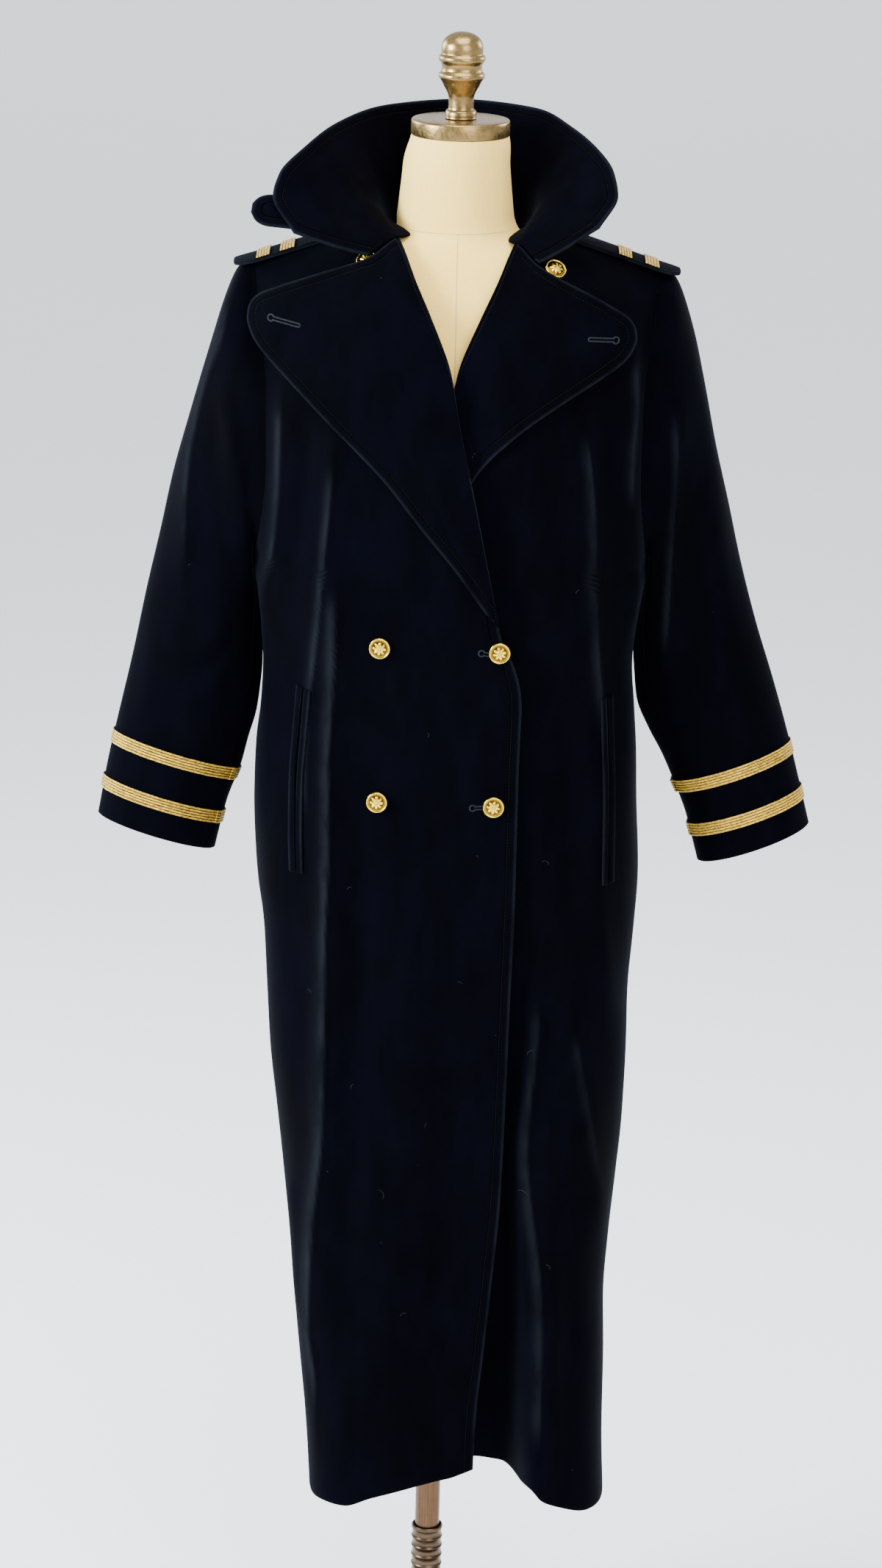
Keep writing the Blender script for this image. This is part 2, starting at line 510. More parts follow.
@dataclass
class ClothGrid:
    """Points of a cloth piece's outer face, in rows down it and columns round it."""

    points: np.ndarray
    closed: bool = False
    ridge: np.ndarray | None = None
    rib: np.ndarray | None = None

    @classmethod
    def read(cls, place: Place, cols: Sequence[float], rows: Sequence[float],
             closed: bool = False, finer: int = 2) -> "ClothGrid":
        """Read a surface on a coarse grid and refine it.

        Args:
            place: The surface, as a function of column and row.
            cols: Column values.
            rows: Row values.
            closed: True for a tube.
            finer: How often the grid is doubled.

        Returns:
            The fine grid.
        """
        grid = np.array([[tuple(place(s, t)) for s in cols] for t in rows], float)
        for _ in range(finer):
            grid = doubled(doubled(grid, 0), 1, closed)
        return cls(grid, closed)

    def slopes(self) -> tuple[np.ndarray, np.ndarray]:
        """Unit directions down the rows and round the columns."""
        down = np.gradient(self.points, axis=0)
        if self.closed:
            around = np.roll(self.points, -1, 1) - np.roll(self.points, 1, 1)
        else:
            around = np.gradient(self.points, axis=1)
        return unit(down), unit(around)

    def normals(self) -> np.ndarray:
        """Outward directions."""
        return unit(np.cross(*self.slopes()))

    def lift(self, height: np.ndarray) -> None:
        """Move each point outward by its own height."""
        self.points = self.points + self.normals() * height[..., None]

    def fold(self, creases: Sequence[Crease], face: int = 0, share: float = 1.0) -> None:
        """Raise creases on the grid.

        Args:
            creases: The ridges and troughs.
            face: -1 keeps them on what looks forward, +1 on what looks back.
            share: A factor on their heights.
        """
        x, z = self.points[..., 0], self.points[..., 2]
        facing = smooth(self.normals()[..., 1] * face * 2.2) if face else 1.0
        heights = [(c, c.lift(x, z)) for c in creases]
        crests = [np.clip(h / c.height, 0, 1) ** 6 * min(1.0, c.height / 0.0024) for c, h in heights
                  if c.height > 0 and min(c.wide) < 0.0045]
        if crests:
            worn = np.max(crests, axis=0) * facing
            self.ridge = worn if self.ridge is None else np.maximum(self.ridge, worn)
        self.lift(sum(h for _, h in heights) * facing * share)

    def ripple(self, height: float, size: float, turn: float = 0.0) -> None:
        """Soft unevenness of hand-pressed pile cloth, still at the edges.

        Args:
            height: Its largest lift.
            size: Its rough spacing.
            turn: Shifts the pattern from piece to piece.
        """
        x, y, z = (self.points[..., i] / size for i in range(3))
        wave = (np.sin(3.1 * x + 1.3 * z + turn) * np.sin(0.9 * z - 2.2 * y + 2 * turn)
                + 0.6 * np.sin(5.3 * x - 1.9 * z + 3 * turn) + 0.5 * np.sin(2.7 * z + 4.1 * x + turn))
        rows, cols = self.points.shape[:2]
        keep = smooth(np.minimum(np.arange(rows), np.arange(rows)[::-1]) / 10)[:, None]
        if not self.closed:
            keep = keep * smooth(np.minimum(np.arange(cols), np.arange(cols)[::-1]) / 8)[None]
        self.lift(height * 0.5 * wave * keep)

    def lengths(self) -> tuple[np.ndarray, np.ndarray]:
        """Distance round and down the cloth at each point, in metres."""
        def run(axis: int) -> np.ndarray:
            """Length gone along one axis."""
            step = np.linalg.norm(np.diff(self.points, axis=axis), axis=-1)
            gap = [(0, 0), (0, 0)]
            gap[axis] = (1, 0)
            return np.pad(np.cumsum(step, axis=axis), gap)
        return run(1), run(0)

    def border(self) -> list[np.ndarray]:
        """The loops of vertex numbers round the grid's free edges."""
        rows, cols = self.points.shape[:2]
        spot = np.arange(rows * cols).reshape(rows, cols)
        if self.closed:
            return [spot[0], spot[-1][::-1]]
        return [np.concatenate([spot[0, :-1], spot[:-1, -1], spot[-1, :0:-1], spot[:0:-1, 0]])]

    def edge_gap(self, edges: Sequence[str]) -> np.ndarray:
        """Distance of each point from named edges.

        Args:
            edges: Any of first_row, last_row, first_col and last_col.

        Returns:
            The distances in metres.
        """
        lines = {"first_row": self.points[0], "last_row": self.points[-1],
                 "first_col": self.points[:, 0], "last_col": self.points[:, -1]}
        best = np.full(self.points.shape[:2], 1.0)
        for edge in edges:
            for spot in doubled(lines[edge], 0):
                best = np.minimum(best, np.linalg.norm(self.points - spot, axis=-1))
        return best

    def at(self, x: float, z: float, face: int = -1) -> tuple[Vector, Vector]:
        """The cloth over a place of the front view.

        Args:
            x: Across.
            z: Up.
            face: -1 for what looks forward, +1 for what looks back.

        Returns:
            The point and its outward direction.
        """
        if not hasattr(self, "_flat"):
            self._flat = self.points.reshape(-1, 3), self.normals().reshape(-1, 3)
        points, normals = self._flat
        gap = (points[:, 0] - x) ** 2 + (points[:, 2] - z) ** 2 + 1.0 * (normals[:, 1] * face < 0)
        near = np.argpartition(gap, 5)[:5]
        weight = 1 / (gap[near] + 1e-9)
        weight /= weight.sum()
        normal = unit(weight @ normals[near])
        point = weight @ points[near]
        miss = np.array([x - point[0], 0.0, z - point[2]])
        miss[1] = -(miss[0] * normal[0] + miss[2] * normal[2]) / normal[1]
        return Vector(point + miss), Vector(normal)


def mesh_object(name: str, verts: np.ndarray, faces: Sequence[Sequence[int]],
                finish: bpy.types.Material, uv: np.ndarray | None = None,
                marks: dict[str, np.ndarray] | None = None) -> bpy.types.Object:
    """Add one smooth-shaded mesh object.

    Args:
        name: The piece's name.
        verts: Its vertices.
        faces: Its faces.
        finish: Its material.
        uv: Flat coordinates of each vertex, in metres.
        marks: Named numbers of each vertex, which the material reads.

    Returns:
        The object.
    """
    mesh = bpy.data.meshes.new(name)
    mesh.from_pydata(np.asarray(verts, float).tolist(), [], [list(map(int, f)) for f in faces])
    mesh.shade_smooth()
    mesh.materials.append(finish)
    if uv is not None:
        turn = np.empty(len(mesh.loops), int)
        mesh.loops.foreach_get("vertex_index", turn)
        layer = mesh.uv_layers.new(name="cut")
        layer.data.foreach_set("uv", np.asarray(uv, np.float32)[turn].ravel())
    for mark, values in (marks or {}).items():
        slot = mesh.attributes.new(mark, "FLOAT", "POINT")
        slot.data.foreach_set("value", np.asarray(values, np.float32).ravel())
    obj = bpy.data.objects.new(name, mesh)
    bpy.context.scene.collection.objects.link(obj)
    return obj


def cloth_object(name: str, grid: ClothGrid, wall: float, finish: bpy.types.Material,
                 edges: Sequence[str] = (), turn: float = 0.4) -> bpy.types.Object:
    """Close a grid to a wall of cloth with rounded edges.

    Args:
        name: The CAD node it is made after.
        grid: Its outer face.
        wall: Its thickness.
        finish: Its material.
        edges: Free edges that are topstitched.
        turn: How round the edges are, as a share of the wall.

    Returns:
        The piece.
    """
    outer, normals = grid.points.copy(), grid.normals()
    inner = outer - normals * wall
    middle = (outer + inner) / 2
    down, around = grid.slopes()
    out = np.zeros_like(outer)
    out[0] -= down[0]
    out[-1] += down[-1]
    if not grid.closed:
        out[:, 0] -= around[:, 0]
        out[:, -1] += around[:, -1]
    out = unit(out) * (np.linalg.norm(out, axis=-1, keepdims=True) > 0)
    outer, inner = outer - out * wall * turn, inner - out * wall * turn
    rows, cols = outer.shape[:2]
    total = rows * cols
    spot = np.arange(total).reshape(rows, cols)
    a = spot[:-1] if grid.closed else spot[:-1, :-1]
    b = np.roll(spot, -1, 1)[:-1] if grid.closed else spot[:-1, 1:]
    c = np.roll(spot, -1, 1)[1:] if grid.closed else spot[1:, 1:]
    d = spot[1:] if grid.closed else spot[1:, :-1]
    front = np.stack([a, d, c, b], -1).reshape(-1, 4)
    faces = [front, np.stack([a, b, c, d], -1).reshape(-1, 4) + total]
    loops = grid.border()
    rims, start = [], 2 * total
    for loop in loops:
        here, there = np.arange(len(loop)) + start, (np.arange(len(loop)) + 1) % len(loop) + start
        onward = np.roll(loop, -1)
        faces.append(np.stack([loop, onward, there, here], -1))
        faces.append(np.stack([here, there, onward + total, loop + total], -1))
        rims.append(middle.reshape(-1, 3)[loop])
        start += len(loop)
    every = np.concatenate(loops)
    verts = np.concatenate([outer.reshape(-1, 3), inner.reshape(-1, 3), *rims])
    u, v = grid.lengths()
    flat = np.stack([u, v], -1).reshape(-1, 2)
    marks = {}
    if grid.ridge is not None:
        worn = grid.ridge.ravel()
        marks["ridge"] = np.concatenate([worn, 0 * worn, worn[every]])
    if grid.rib is not None:
        rib = grid.rib.ravel()
        marks["rib"] = np.concatenate([rib, rib, rib[every]])
    if edges:
        gap = grid.edge_gap(edges).ravel()
        marks["edge"] = np.concatenate([gap, gap, gap[every]])
    return mesh_object(f"{name}_cloth", verts, np.concatenate(faces), finish,
                       np.concatenate([flat, flat, flat[every]]), marks)


def tubes(name: str, paths: Sequence[np.ndarray], radius: float, finish: bpy.types.Material,
          sides: int = 6) -> bpy.types.Object:
    """Short threads with closed ends, in one mesh.

    Args:
        name: The piece's name.
        paths: Each thread's points.
        radius: Its half thickness.
        finish: Its material.
        sides: Sides round it.

    Returns:
        The piece.
    """
    verts, faces = [], []
    for path in paths:
        path = np.asarray(path, float)
        along = unit(np.gradient(path, axis=0))
        first = unit(np.cross(along, (0.31, 0.77, 0.55)))
        second = np.cross(along, first)
        begin, count = len(verts), len(path)
        for i in range(count):
            size = radius * (0.55 if i in (0, count - 1) else 1.0)
            for k in range(sides):
                a = 2 * math.pi * k / sides
                verts.append(path[i] + (first[i] * math.cos(a) + second[i] * math.sin(a)) * size)
        for i in range(count - 1):
            for k in range(sides):
                p, q = begin + i * sides + k, begin + i * sides + (k + 1) % sides
                faces.append((p, q, q + sides, p + sides))
        faces.append(tuple(begin + k for k in reversed(range(sides))))
        faces.append(tuple(begin + (count - 1) * sides + k for k in range(sides)))
    return mesh_object(name, np.array(verts), faces, finish)


def wear(piece: bpy.types.Object, slot: str, *nodes: str, body: str = "figure") -> bpy.types.Object:
    """Let a piece ride on a body, in the place of CAD nodes if it is named for one.

    Args:
        piece: The piece.
        slot: The record's material slot.
        nodes: The CAD nodes it stands for.
        body: The body it rides on.

    Returns:
        The piece.
    """
    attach(piece, body)
    if nodes:
        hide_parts(*nodes)
    LOG.info("%s: %d faces", piece.name, len(piece.data.polygons))
    return piece


# ------------------------------------------------------------ finishes
class Graph:
    """Short hand for one material's nodes."""

    def __init__(self, name: str) -> None:
        """Start an empty Principled material of that name."""
        self.material = bpy.data.materials.new(name)
        self.material.use_nodes = True
        self.nodes, self.links = self.material.node_tree.nodes, self.material.node_tree.links
        self.shader = self.nodes["Principled BSDF"]
        self.where = self.nodes.new("ShaderNodeTexCoord").outputs["Object"]

    def set(self, **numbers: object) -> None:
        """Set the shader's own sockets; _ stands for a space."""
        for key, value in numbers.items():
            self.shader.inputs[key.replace("_", " ")].default_value = value

    def plug(self, value: object, socket: bpy.types.NodeSocket) -> None:
        """Link a socket, or write a plain number into it."""
        if isinstance(value, bpy.types.NodeSocket):
            self.links.new(value, socket)
        else:
            socket.default_value = value

    def to(self, source: bpy.types.NodeSocket, target: str) -> None:
        """Link a socket to one of the shader's."""
        self.links.new(source, self.shader.inputs[target])

    def stretch(self, scale: tuple[float, float, float],
                source: bpy.types.NodeSocket | None = None) -> bpy.types.NodeSocket:
        """Scaled coordinates."""
        node = self.nodes.new("ShaderNodeMapping")
        node.inputs["Scale"].default_value = scale
        self.links.new(source or self.where, node.inputs["Vector"])
        return node.outputs["Vector"]

    def noise(self, scale: float, detail: float = 2.0, rough: float = 0.5,
              source: bpy.types.NodeSocket | None = None) -> bpy.types.NodeSocket:
        """Cloudy noise, 0 to 1."""
        node = self.nodes.new("ShaderNodeTexNoise")
        node.inputs["Scale"].default_value = scale
        node.inputs["Detail"].default_value = detail
        node.inputs["Roughness"].default_value = rough
        self.links.new(source or self.where, node.inputs["Vector"])
        return node.outputs["Fac"]

    def cells(self, scale: float, source: bpy.types.NodeSocket | None = None,
              output: str = "Distance") -> bpy.types.NodeSocket:
        """Distance to the nearest of scattered points, or its random colour."""
        node = self.nodes.new("ShaderNodeTexVoronoi")
        node.inputs["Scale"].default_value = scale
        self.links.new(source or self.where, node.inputs["Vector"])
        return node.outputs[output]

    def maths(self, what: str, a: object, b: object = 0.0, c: object = 0.0) -> bpy.types.NodeSocket:
        """One Math node."""
        node = self.nodes.new("ShaderNodeMath")
        node.operation = what
        for value, socket in zip((a, b, c), node.inputs):
            self.plug(value, socket)
        return node.outputs[0]

    def ramp(self, source: bpy.types.NodeSocket,
             *stops: tuple[float, tuple[float, float, float]]) -> bpy.types.NodeSocket:
        """Colours along a number."""
        node = self.nodes.new("ShaderNodeValToRGB")
        band = node.color_ramp
        while len(band.elements) < len(stops):
            band.elements.new(0.5)
        for element, (at, colour) in zip(band.elements, stops):
            element.position, element.color = at, (*colour, 1.0)
        self.links.new(source, node.inputs["Fac"])
        return node.outputs["Color"]

    def span(self, source: object, low: float, high: float, to_low: float = 0.0,
             to_high: float = 1.0) -> bpy.types.NodeSocket:
        """A number mapped smoothly from one range to another, and held at its ends."""
        node = self.nodes.new("ShaderNodeMapRange")
        node.interpolation_type = "SMOOTHSTEP"
        for value, socket in zip((source, low, high, to_low, to_high), node.inputs):
            self.plug(value, socket)
        return node.outputs["Result"]

    def mix(self, share: object, a: object, b: object, blend: str = "MIX") -> bpy.types.NodeSocket:
        """Two colours mixed."""
        node = self.nodes.new("ShaderNodeMix")
        node.data_type, node.blend_type = "RGBA", blend
        self.plug(share, node.inputs[0])
        for value, socket in ((a, node.inputs[6]), (b, node.inputs[7])):
            self.plug(value if isinstance(value, bpy.types.NodeSocket) else (*value, 1.0), socket)
        return node.outputs[2]

    def mark(self, name: str) -> bpy.types.NodeSocket:
        """A number that the mesh carries at each vertex."""
        node = self.nodes.new("ShaderNodeAttribute")
        node.attribute_name = name
        return node.outputs["Fac"]

    def cut(self) -> tuple[bpy.types.NodeSocket, bpy.types.NodeSocket]:
        """Metres round and down the cloth."""
        node = self.nodes.new("ShaderNodeSeparateXYZ")
        place = self.nodes.new("ShaderNodeUVMap")
        place.uv_map = "cut"
        self.links.new(place.outputs["UV"], node.inputs[0])
        return node.outputs[0], node.outputs[1]

    def bump(self, *layers: tuple[bpy.types.NodeSocket, float, float]) -> None:
        """Stack bumps, each a height, a strength and a depth in metres."""
        before = None
        for height, strength, depth in layers:
            node = self.nodes.new("ShaderNodeBump")
            node.inputs["Strength"].default_value = strength
            node.inputs["Distance"].default_value = depth
            self.links.new(height, node.inputs["Height"])
            if before:
                self.links.new(before, node.inputs["Normal"])
            before = node.outputs["Normal"]
        self.to(before, "Normal")


@dataclass(frozen=True)
class Velvet:
    """Cut pile: nearly black, with a cool sheen that the nap breaks up."""

    dark: tuple[float, float, float] = (0.00022, 0.00022, 0.00085)
    light: tuple[float, float, float] = (0.00080, 0.00086, 0.00310)
    brushed: tuple[float, float, float] = (0.0066, 0.0080, 0.0112)
    lint: tuple[float, float, float] = (0.050, 0.050, 0.054)
    stitched: bool = False

    def make(self) -> bpy.types.Material:
        """Build the material."""
        g = Graph("velvet_stitched" if self.stitched else "velvet")
        nap = g.noise(7.0, 3.0, 0.55)
        strokes = g.noise(38.0, 3.0, 0.6, g.stretch((1.0, 1.0, 0.35)))
        pile = g.noise(2400.0, 2.0, 0.6)
        tone = g.maths("ADD", g.maths("MULTIPLY", nap, 0.55), g.maths("MULTIPLY", strokes, 0.45))
        colour = g.ramp(tone, (0.36, self.dark), (0.66, self.light))
        speck = g.maths("LESS_THAN", g.cells(52.0), 0.020)
        picked = g.nodes.new("ShaderNodeSeparateColor")
        g.links.new(g.cells(52.0, output="Color"), picked.inputs[0])
        speck = g.maths("MULTIPLY", speck, g.maths("LESS_THAN", picked.outputs[0], 0.16))
        ridge = g.maths("MULTIPLY", g.mark("ridge"), g.span(strokes, 0.30, 0.62, 0.35, 1.0))
        colour = g.mix(ridge, colour, self.brushed)
        colour = g.mix(speck, colour, self.lint)
        layers = [(strokes, 0.10, 0.0012), (pile, 0.35, 0.0004)]
        if self.stitched:
            off = g.maths("ABSOLUTE", g.maths("SUBTRACT", g.mark("edge"), STITCH_IN))
            groove = g.span(off, 0.0003, 0.0016)
            rim = g.maths("MULTIPLY", g.span(g.mark("edge"), 0.0006, 0.0042, 0.75, 0.0),
                          g.span(strokes, 0.25, 0.60, 0.3, 1.0))
            colour = g.mix(rim, colour, self.brushed)
            colour = g.mix(g.maths("SUBTRACT", 1.0, groove), colour, (0.0002, 0.0002, 0.0003))
            layers.append((groove, 0.9, 0.0011))
        g.to(colour, "Base Color")
        g.to(g.span(nap, 0.3, 0.7, 0.82, 0.95), "Roughness")
        g.set(Specular_IOR_Level=0.02, Sheen_Weight=0.022, Sheen_Roughness=0.28,
              Sheen_Tint=(0.52, 0.70, 1.0, 1.0))
        g.bump(*layers)
        return g.material


@dataclass(frozen=True)
class MetalBraid:
    """Woven metallic braid: fine slanting threads over raised ribs."""

    bright: tuple[float, float, float] = (0.95, 0.60, 0.072)
    deep: tuple[float, float, float] = (0.16, 0.080, 0.006)
    pitch: float = 0.0011

    def make(self) -> bpy.types.Material:
        """Build the material."""
        g = Graph("gold_braid")
        u, v = g.cut()
        slant = g.maths("ADD", u, g.maths("MULTIPLY", v, 0.8))
        thread = g.maths("SINE", g.maths("MULTIPLY", slant, 2 * math.pi / self.pitch))
        twist = g.maths("SINE", g.maths("MULTIPLY", g.maths("SUBTRACT", u, v), 2 * math.pi / self.pitch))
        weave = g.span(g.maths("ADD", g.maths("MULTIPLY", thread, 0.7), g.maths("MULTIPLY", twist, 0.3)),
                       -1.0, 1.0)
        age = g.noise(60.0, 3.0, 0.6)
        glitter = g.noise(620.0, 2.0, 0.7, g.stretch((0.6, 0.6, 1.4)))
        tone = g.maths("ADD", g.maths("MULTIPLY", weave, 0.34), g.maths("MULTIPLY", age, 0.22))
        tone = g.maths("ADD", tone, g.maths("MULTIPLY", g.span(glitter, 0.38, 0.60), 0.44))
        colour = g.ramp(tone, (0.16, self.deep), (0.74, self.bright))
        valley = g.span(g.mark("rib"), 0.16, 0.80)
        g.to(g.mix(valley, (0.022, 0.012, 0.001), colour), "Base Color")
        g.to(g.span(age, 0.3, 0.7, 0.30, 0.48), "Roughness")
        g.set(Metallic=0.85, Anisotropic=0.35)
        g.bump((weave, 0.7, 0.0004), (glitter, 0.5, 0.0004))
        return g.material


@dataclass(frozen=True)
class Gilt:
    """Gilt metal with darker hollows."""

    bright: tuple[float, float, float] = (1.00, 0.70, 0.060)
    deep: tuple[float, float, float] = (0.12, 0.055, 0.005)

    def make(self) -> bpy.types.Material:
        """Build the material."""
        g = Graph("gilt")
        hollow = g.span(g.mark("relief"), 0.0, 1.0)
        g.to(g.mix(hollow, self.deep, self.bright), "Base Color")
        wear_ = g.noise(420.0, 3.0, 0.6)
        g.to(g.span(wear_, 0.3, 0.75, 0.16, 0.34), "Roughness")
        g.set(Metallic=1.0)
        g.bump((wear_, 0.12, 0.0002))
        return g.material


@dataclass(frozen=True)
class Linen:
    """Cream canvas of the form: a plain weave, with pressed seams."""

    pale: tuple[float, float, float] = (0.99, 0.70, 0.19)
    warm: tuple[float, float, float] = (0.93, 0.60, 0.12)
    pitch: float = 0.0012

    def make(self) -> bpy.types.Material:
        """Build the material."""
        g = Graph("linen")
        u, v = g.cut()
        warp = g.maths("ABSOLUTE", g.maths("SINE", g.maths("MULTIPLY", u, math.pi / self.pitch)))
        weft = g.maths("ABSOLUTE", g.maths("SINE", g.maths("MULTIPLY", v, math.pi / self.pitch)))
        weave = g.maths("MULTIPLY", warp, weft)
        slub = g.noise(260.0, 3.0, 0.6, g.stretch((1.0, 1.0, 0.25)))
        age = g.noise(9.0, 3.0, 0.6)
        colour = g.ramp(g.maths("ADD", g.maths("MULTIPLY", age, 0.6), g.maths("MULTIPLY", slub, 0.4)),
                        (0.32, self.warm), (0.66, self.pale))
        colour = g.mix(g.span(weave, 0.0, 0.35, 0.35, 0.0), colour, self.warm)
        seam = g.span(g.mark("edge"), 0.0002, 0.0008)
        colour = g.mix(g.maths("SUBTRACT", 1.0, seam), colour, (0.52, 0.38, 0.21))
        g.to(colour, "Base Color")
        g.set(Roughness=0.88, Specular_IOR_Level=0.25, Sheen_Weight=0.10)
        g.bump((weave, 0.35, 0.0003), (slub, 0.25, 0.0003), (seam, 0.35, 0.0006))
        return g.material


@dataclass(frozen=True)
class AgedBrass:
    """Glossy antique brass: a dark patina, crackled, rubbed bright here and there."""

    name: str = "antique_brass"
    bright: tuple[float, float, float] = (0.300, 0.198, 0.072)
    dark: tuple[float, float, float] = (0.198, 0.130, 0.044)
    crackle: float = 1.0

    def make(self) -> bpy.types.Material:
        """Build the material."""
        g = Graph(self.name)
        cloud = g.noise(45.0, 4.0, 0.62)
        spots = g.noise(260.0, 3.0, 0.6)
        tone = g.maths("ADD", g.maths("MULTIPLY", cloud, 0.62), g.maths("MULTIPLY", spots, 0.38))
        g.to(g.ramp(tone, (0.34, self.dark), (0.60, self.bright)), "Base Color")
        g.to(g.span(spots, 0.35, 0.70, 0.25, 0.37), "Roughness")
        cracks = g.span(g.cells(420.0), 0.0, 0.9)
        g.set(Metallic=0.95, Coat_Weight=0.05, Coat_Roughness=0.22)
        g.bump((cracks, 0.07 * self.crackle, 0.0004), (spots, 0.05, 0.0004))
        return g.material


@dataclass(frozen=True)
class BrushedMetal:
    """Metal brushed round its axis or along it."""

    name: str
    bright: tuple[float, float, float]
    dark: tuple[float, float, float]
    grain: tuple[float, float, float]
    rough: float = 0.30

    def make(self) -> bpy.types.Material:
        """Build the material."""
        g = Graph(self.name)
        lines = g.noise(520.0, 3.0, 0.6, g.stretch(self.grain))
        cloud = g.noise(24.0, 3.0, 0.6)
        tone = g.maths("ADD", g.maths("MULTIPLY", lines, 0.5), g.maths("MULTIPLY", cloud, 0.5))
        g.to(g.ramp(tone, (0.34, self.dark), (0.64, self.bright)), "Base Color")
        g.to(g.span(cloud, 0.3, 0.7, self.rough - 0.05, self.rough + 0.12), "Roughness")
        g.set(Metallic=1.0)
        g.bump((lines, 0.12, 0.0003))
        return g.material


@dataclass(frozen=True)
class Thread:
    """Twisted sewing thread."""

    name: str = "thread"
    colour: tuple[float, float, float] = (0.0016, 0.0018, 0.0026)
    light: tuple[float, float, float] = (0.0060, 0.0068, 0.0090)

    def make(self) -> bpy.types.Material:
        """Build the material."""
        g = Graph(self.name)
        strand = g.noise(1600.0, 2.0, 0.5)
        g.to(g.ramp(strand, (0.35, self.colour), (0.65, self.light)), "Base Color")
        g.set(Roughness=0.75, Specular_IOR_Level=0.06)
        g.bump((strand, 0.4, 0.0002))
        return g.material


@dataclass(frozen=True)
class StudioPaper:
    """The pale backdrop."""

    pale: tuple[float, float, float] = (0.90, 0.90, 0.905)

    def make(self) -> bpy.types.Material:
        """Build the material."""
        g = Graph("studio_paper")
        g.to(g.ramp(g.noise(1.2, 2.0), (0.3, tuple(c * 0.985 for c in self.pale)), (0.7, self.pale)),
             "Base Color")
        g.set(Roughness=0.95, Specular_IOR_Level=0.1, Emission_Color=(0.93, 0.95, 1.0, 1.0),
              Emission_Strength=0.50)
        return g.material


@dataclass
class Finishes:
    """Every finish of the coat and its stand, made once."""

    velvet: bpy.types.Material = field(default_factory=lambda: Velvet().make())
    stitched: bpy.types.Material = field(default_factory=lambda: Velvet(stitched=True).make())
    braid: bpy.types.Material = field(default_factory=lambda: MetalBraid().make())
    gilt: bpy.types.Material = field(default_factory=lambda: Gilt().make())
    linen: bpy.types.Material = field(default_factory=lambda: Linen().make())
    brass: bpy.types.Material = field(default_factory=lambda: AgedBrass().make())
    inlay: bpy.types.Material = field(default_factory=lambda: AgedBrass(
        "brass_inlay", (0.345, 0.232, 0.090), (0.262, 0.174, 0.062), 0.4).make())
    pole: bpy.types.Material = field(default_factory=lambda: BrushedMetal(
        "brushed_bronze", (0.138, 0.080, 0.044), (0.055, 0.031, 0.017), (1.0, 1.0, 0.02)).make())
    socket: bpy.types.Material = field(default_factory=lambda: BrushedMetal(
        "socket_bronze", (0.132, 0.088, 0.058), (0.036, 0.023, 0.014), (0.1, 0.1, 1.0)).make())
    iron: bpy.types.Material = field(default_factory=lambda: BrushedMetal(
        "base_iron", (0.10, 0.092, 0.082), (0.035, 0.032, 0.028), (0.3, 0.3, 1.0), 0.42).make())
    thread: bpy.types.Material = field(default_factory=lambda: Thread().make())
    slate: bpy.types.Material = field(default_factory=lambda: Thread(
        "slate_thread", (0.0060, 0.0070, 0.0100), (0.0210, 0.0245, 0.0330)).make())
    lint: bpy.types.Material = field(default_factory=lambda: Thread(
        "lint", (0.030, 0.032, 0.036), (0.075, 0.078, 0.084)).make())


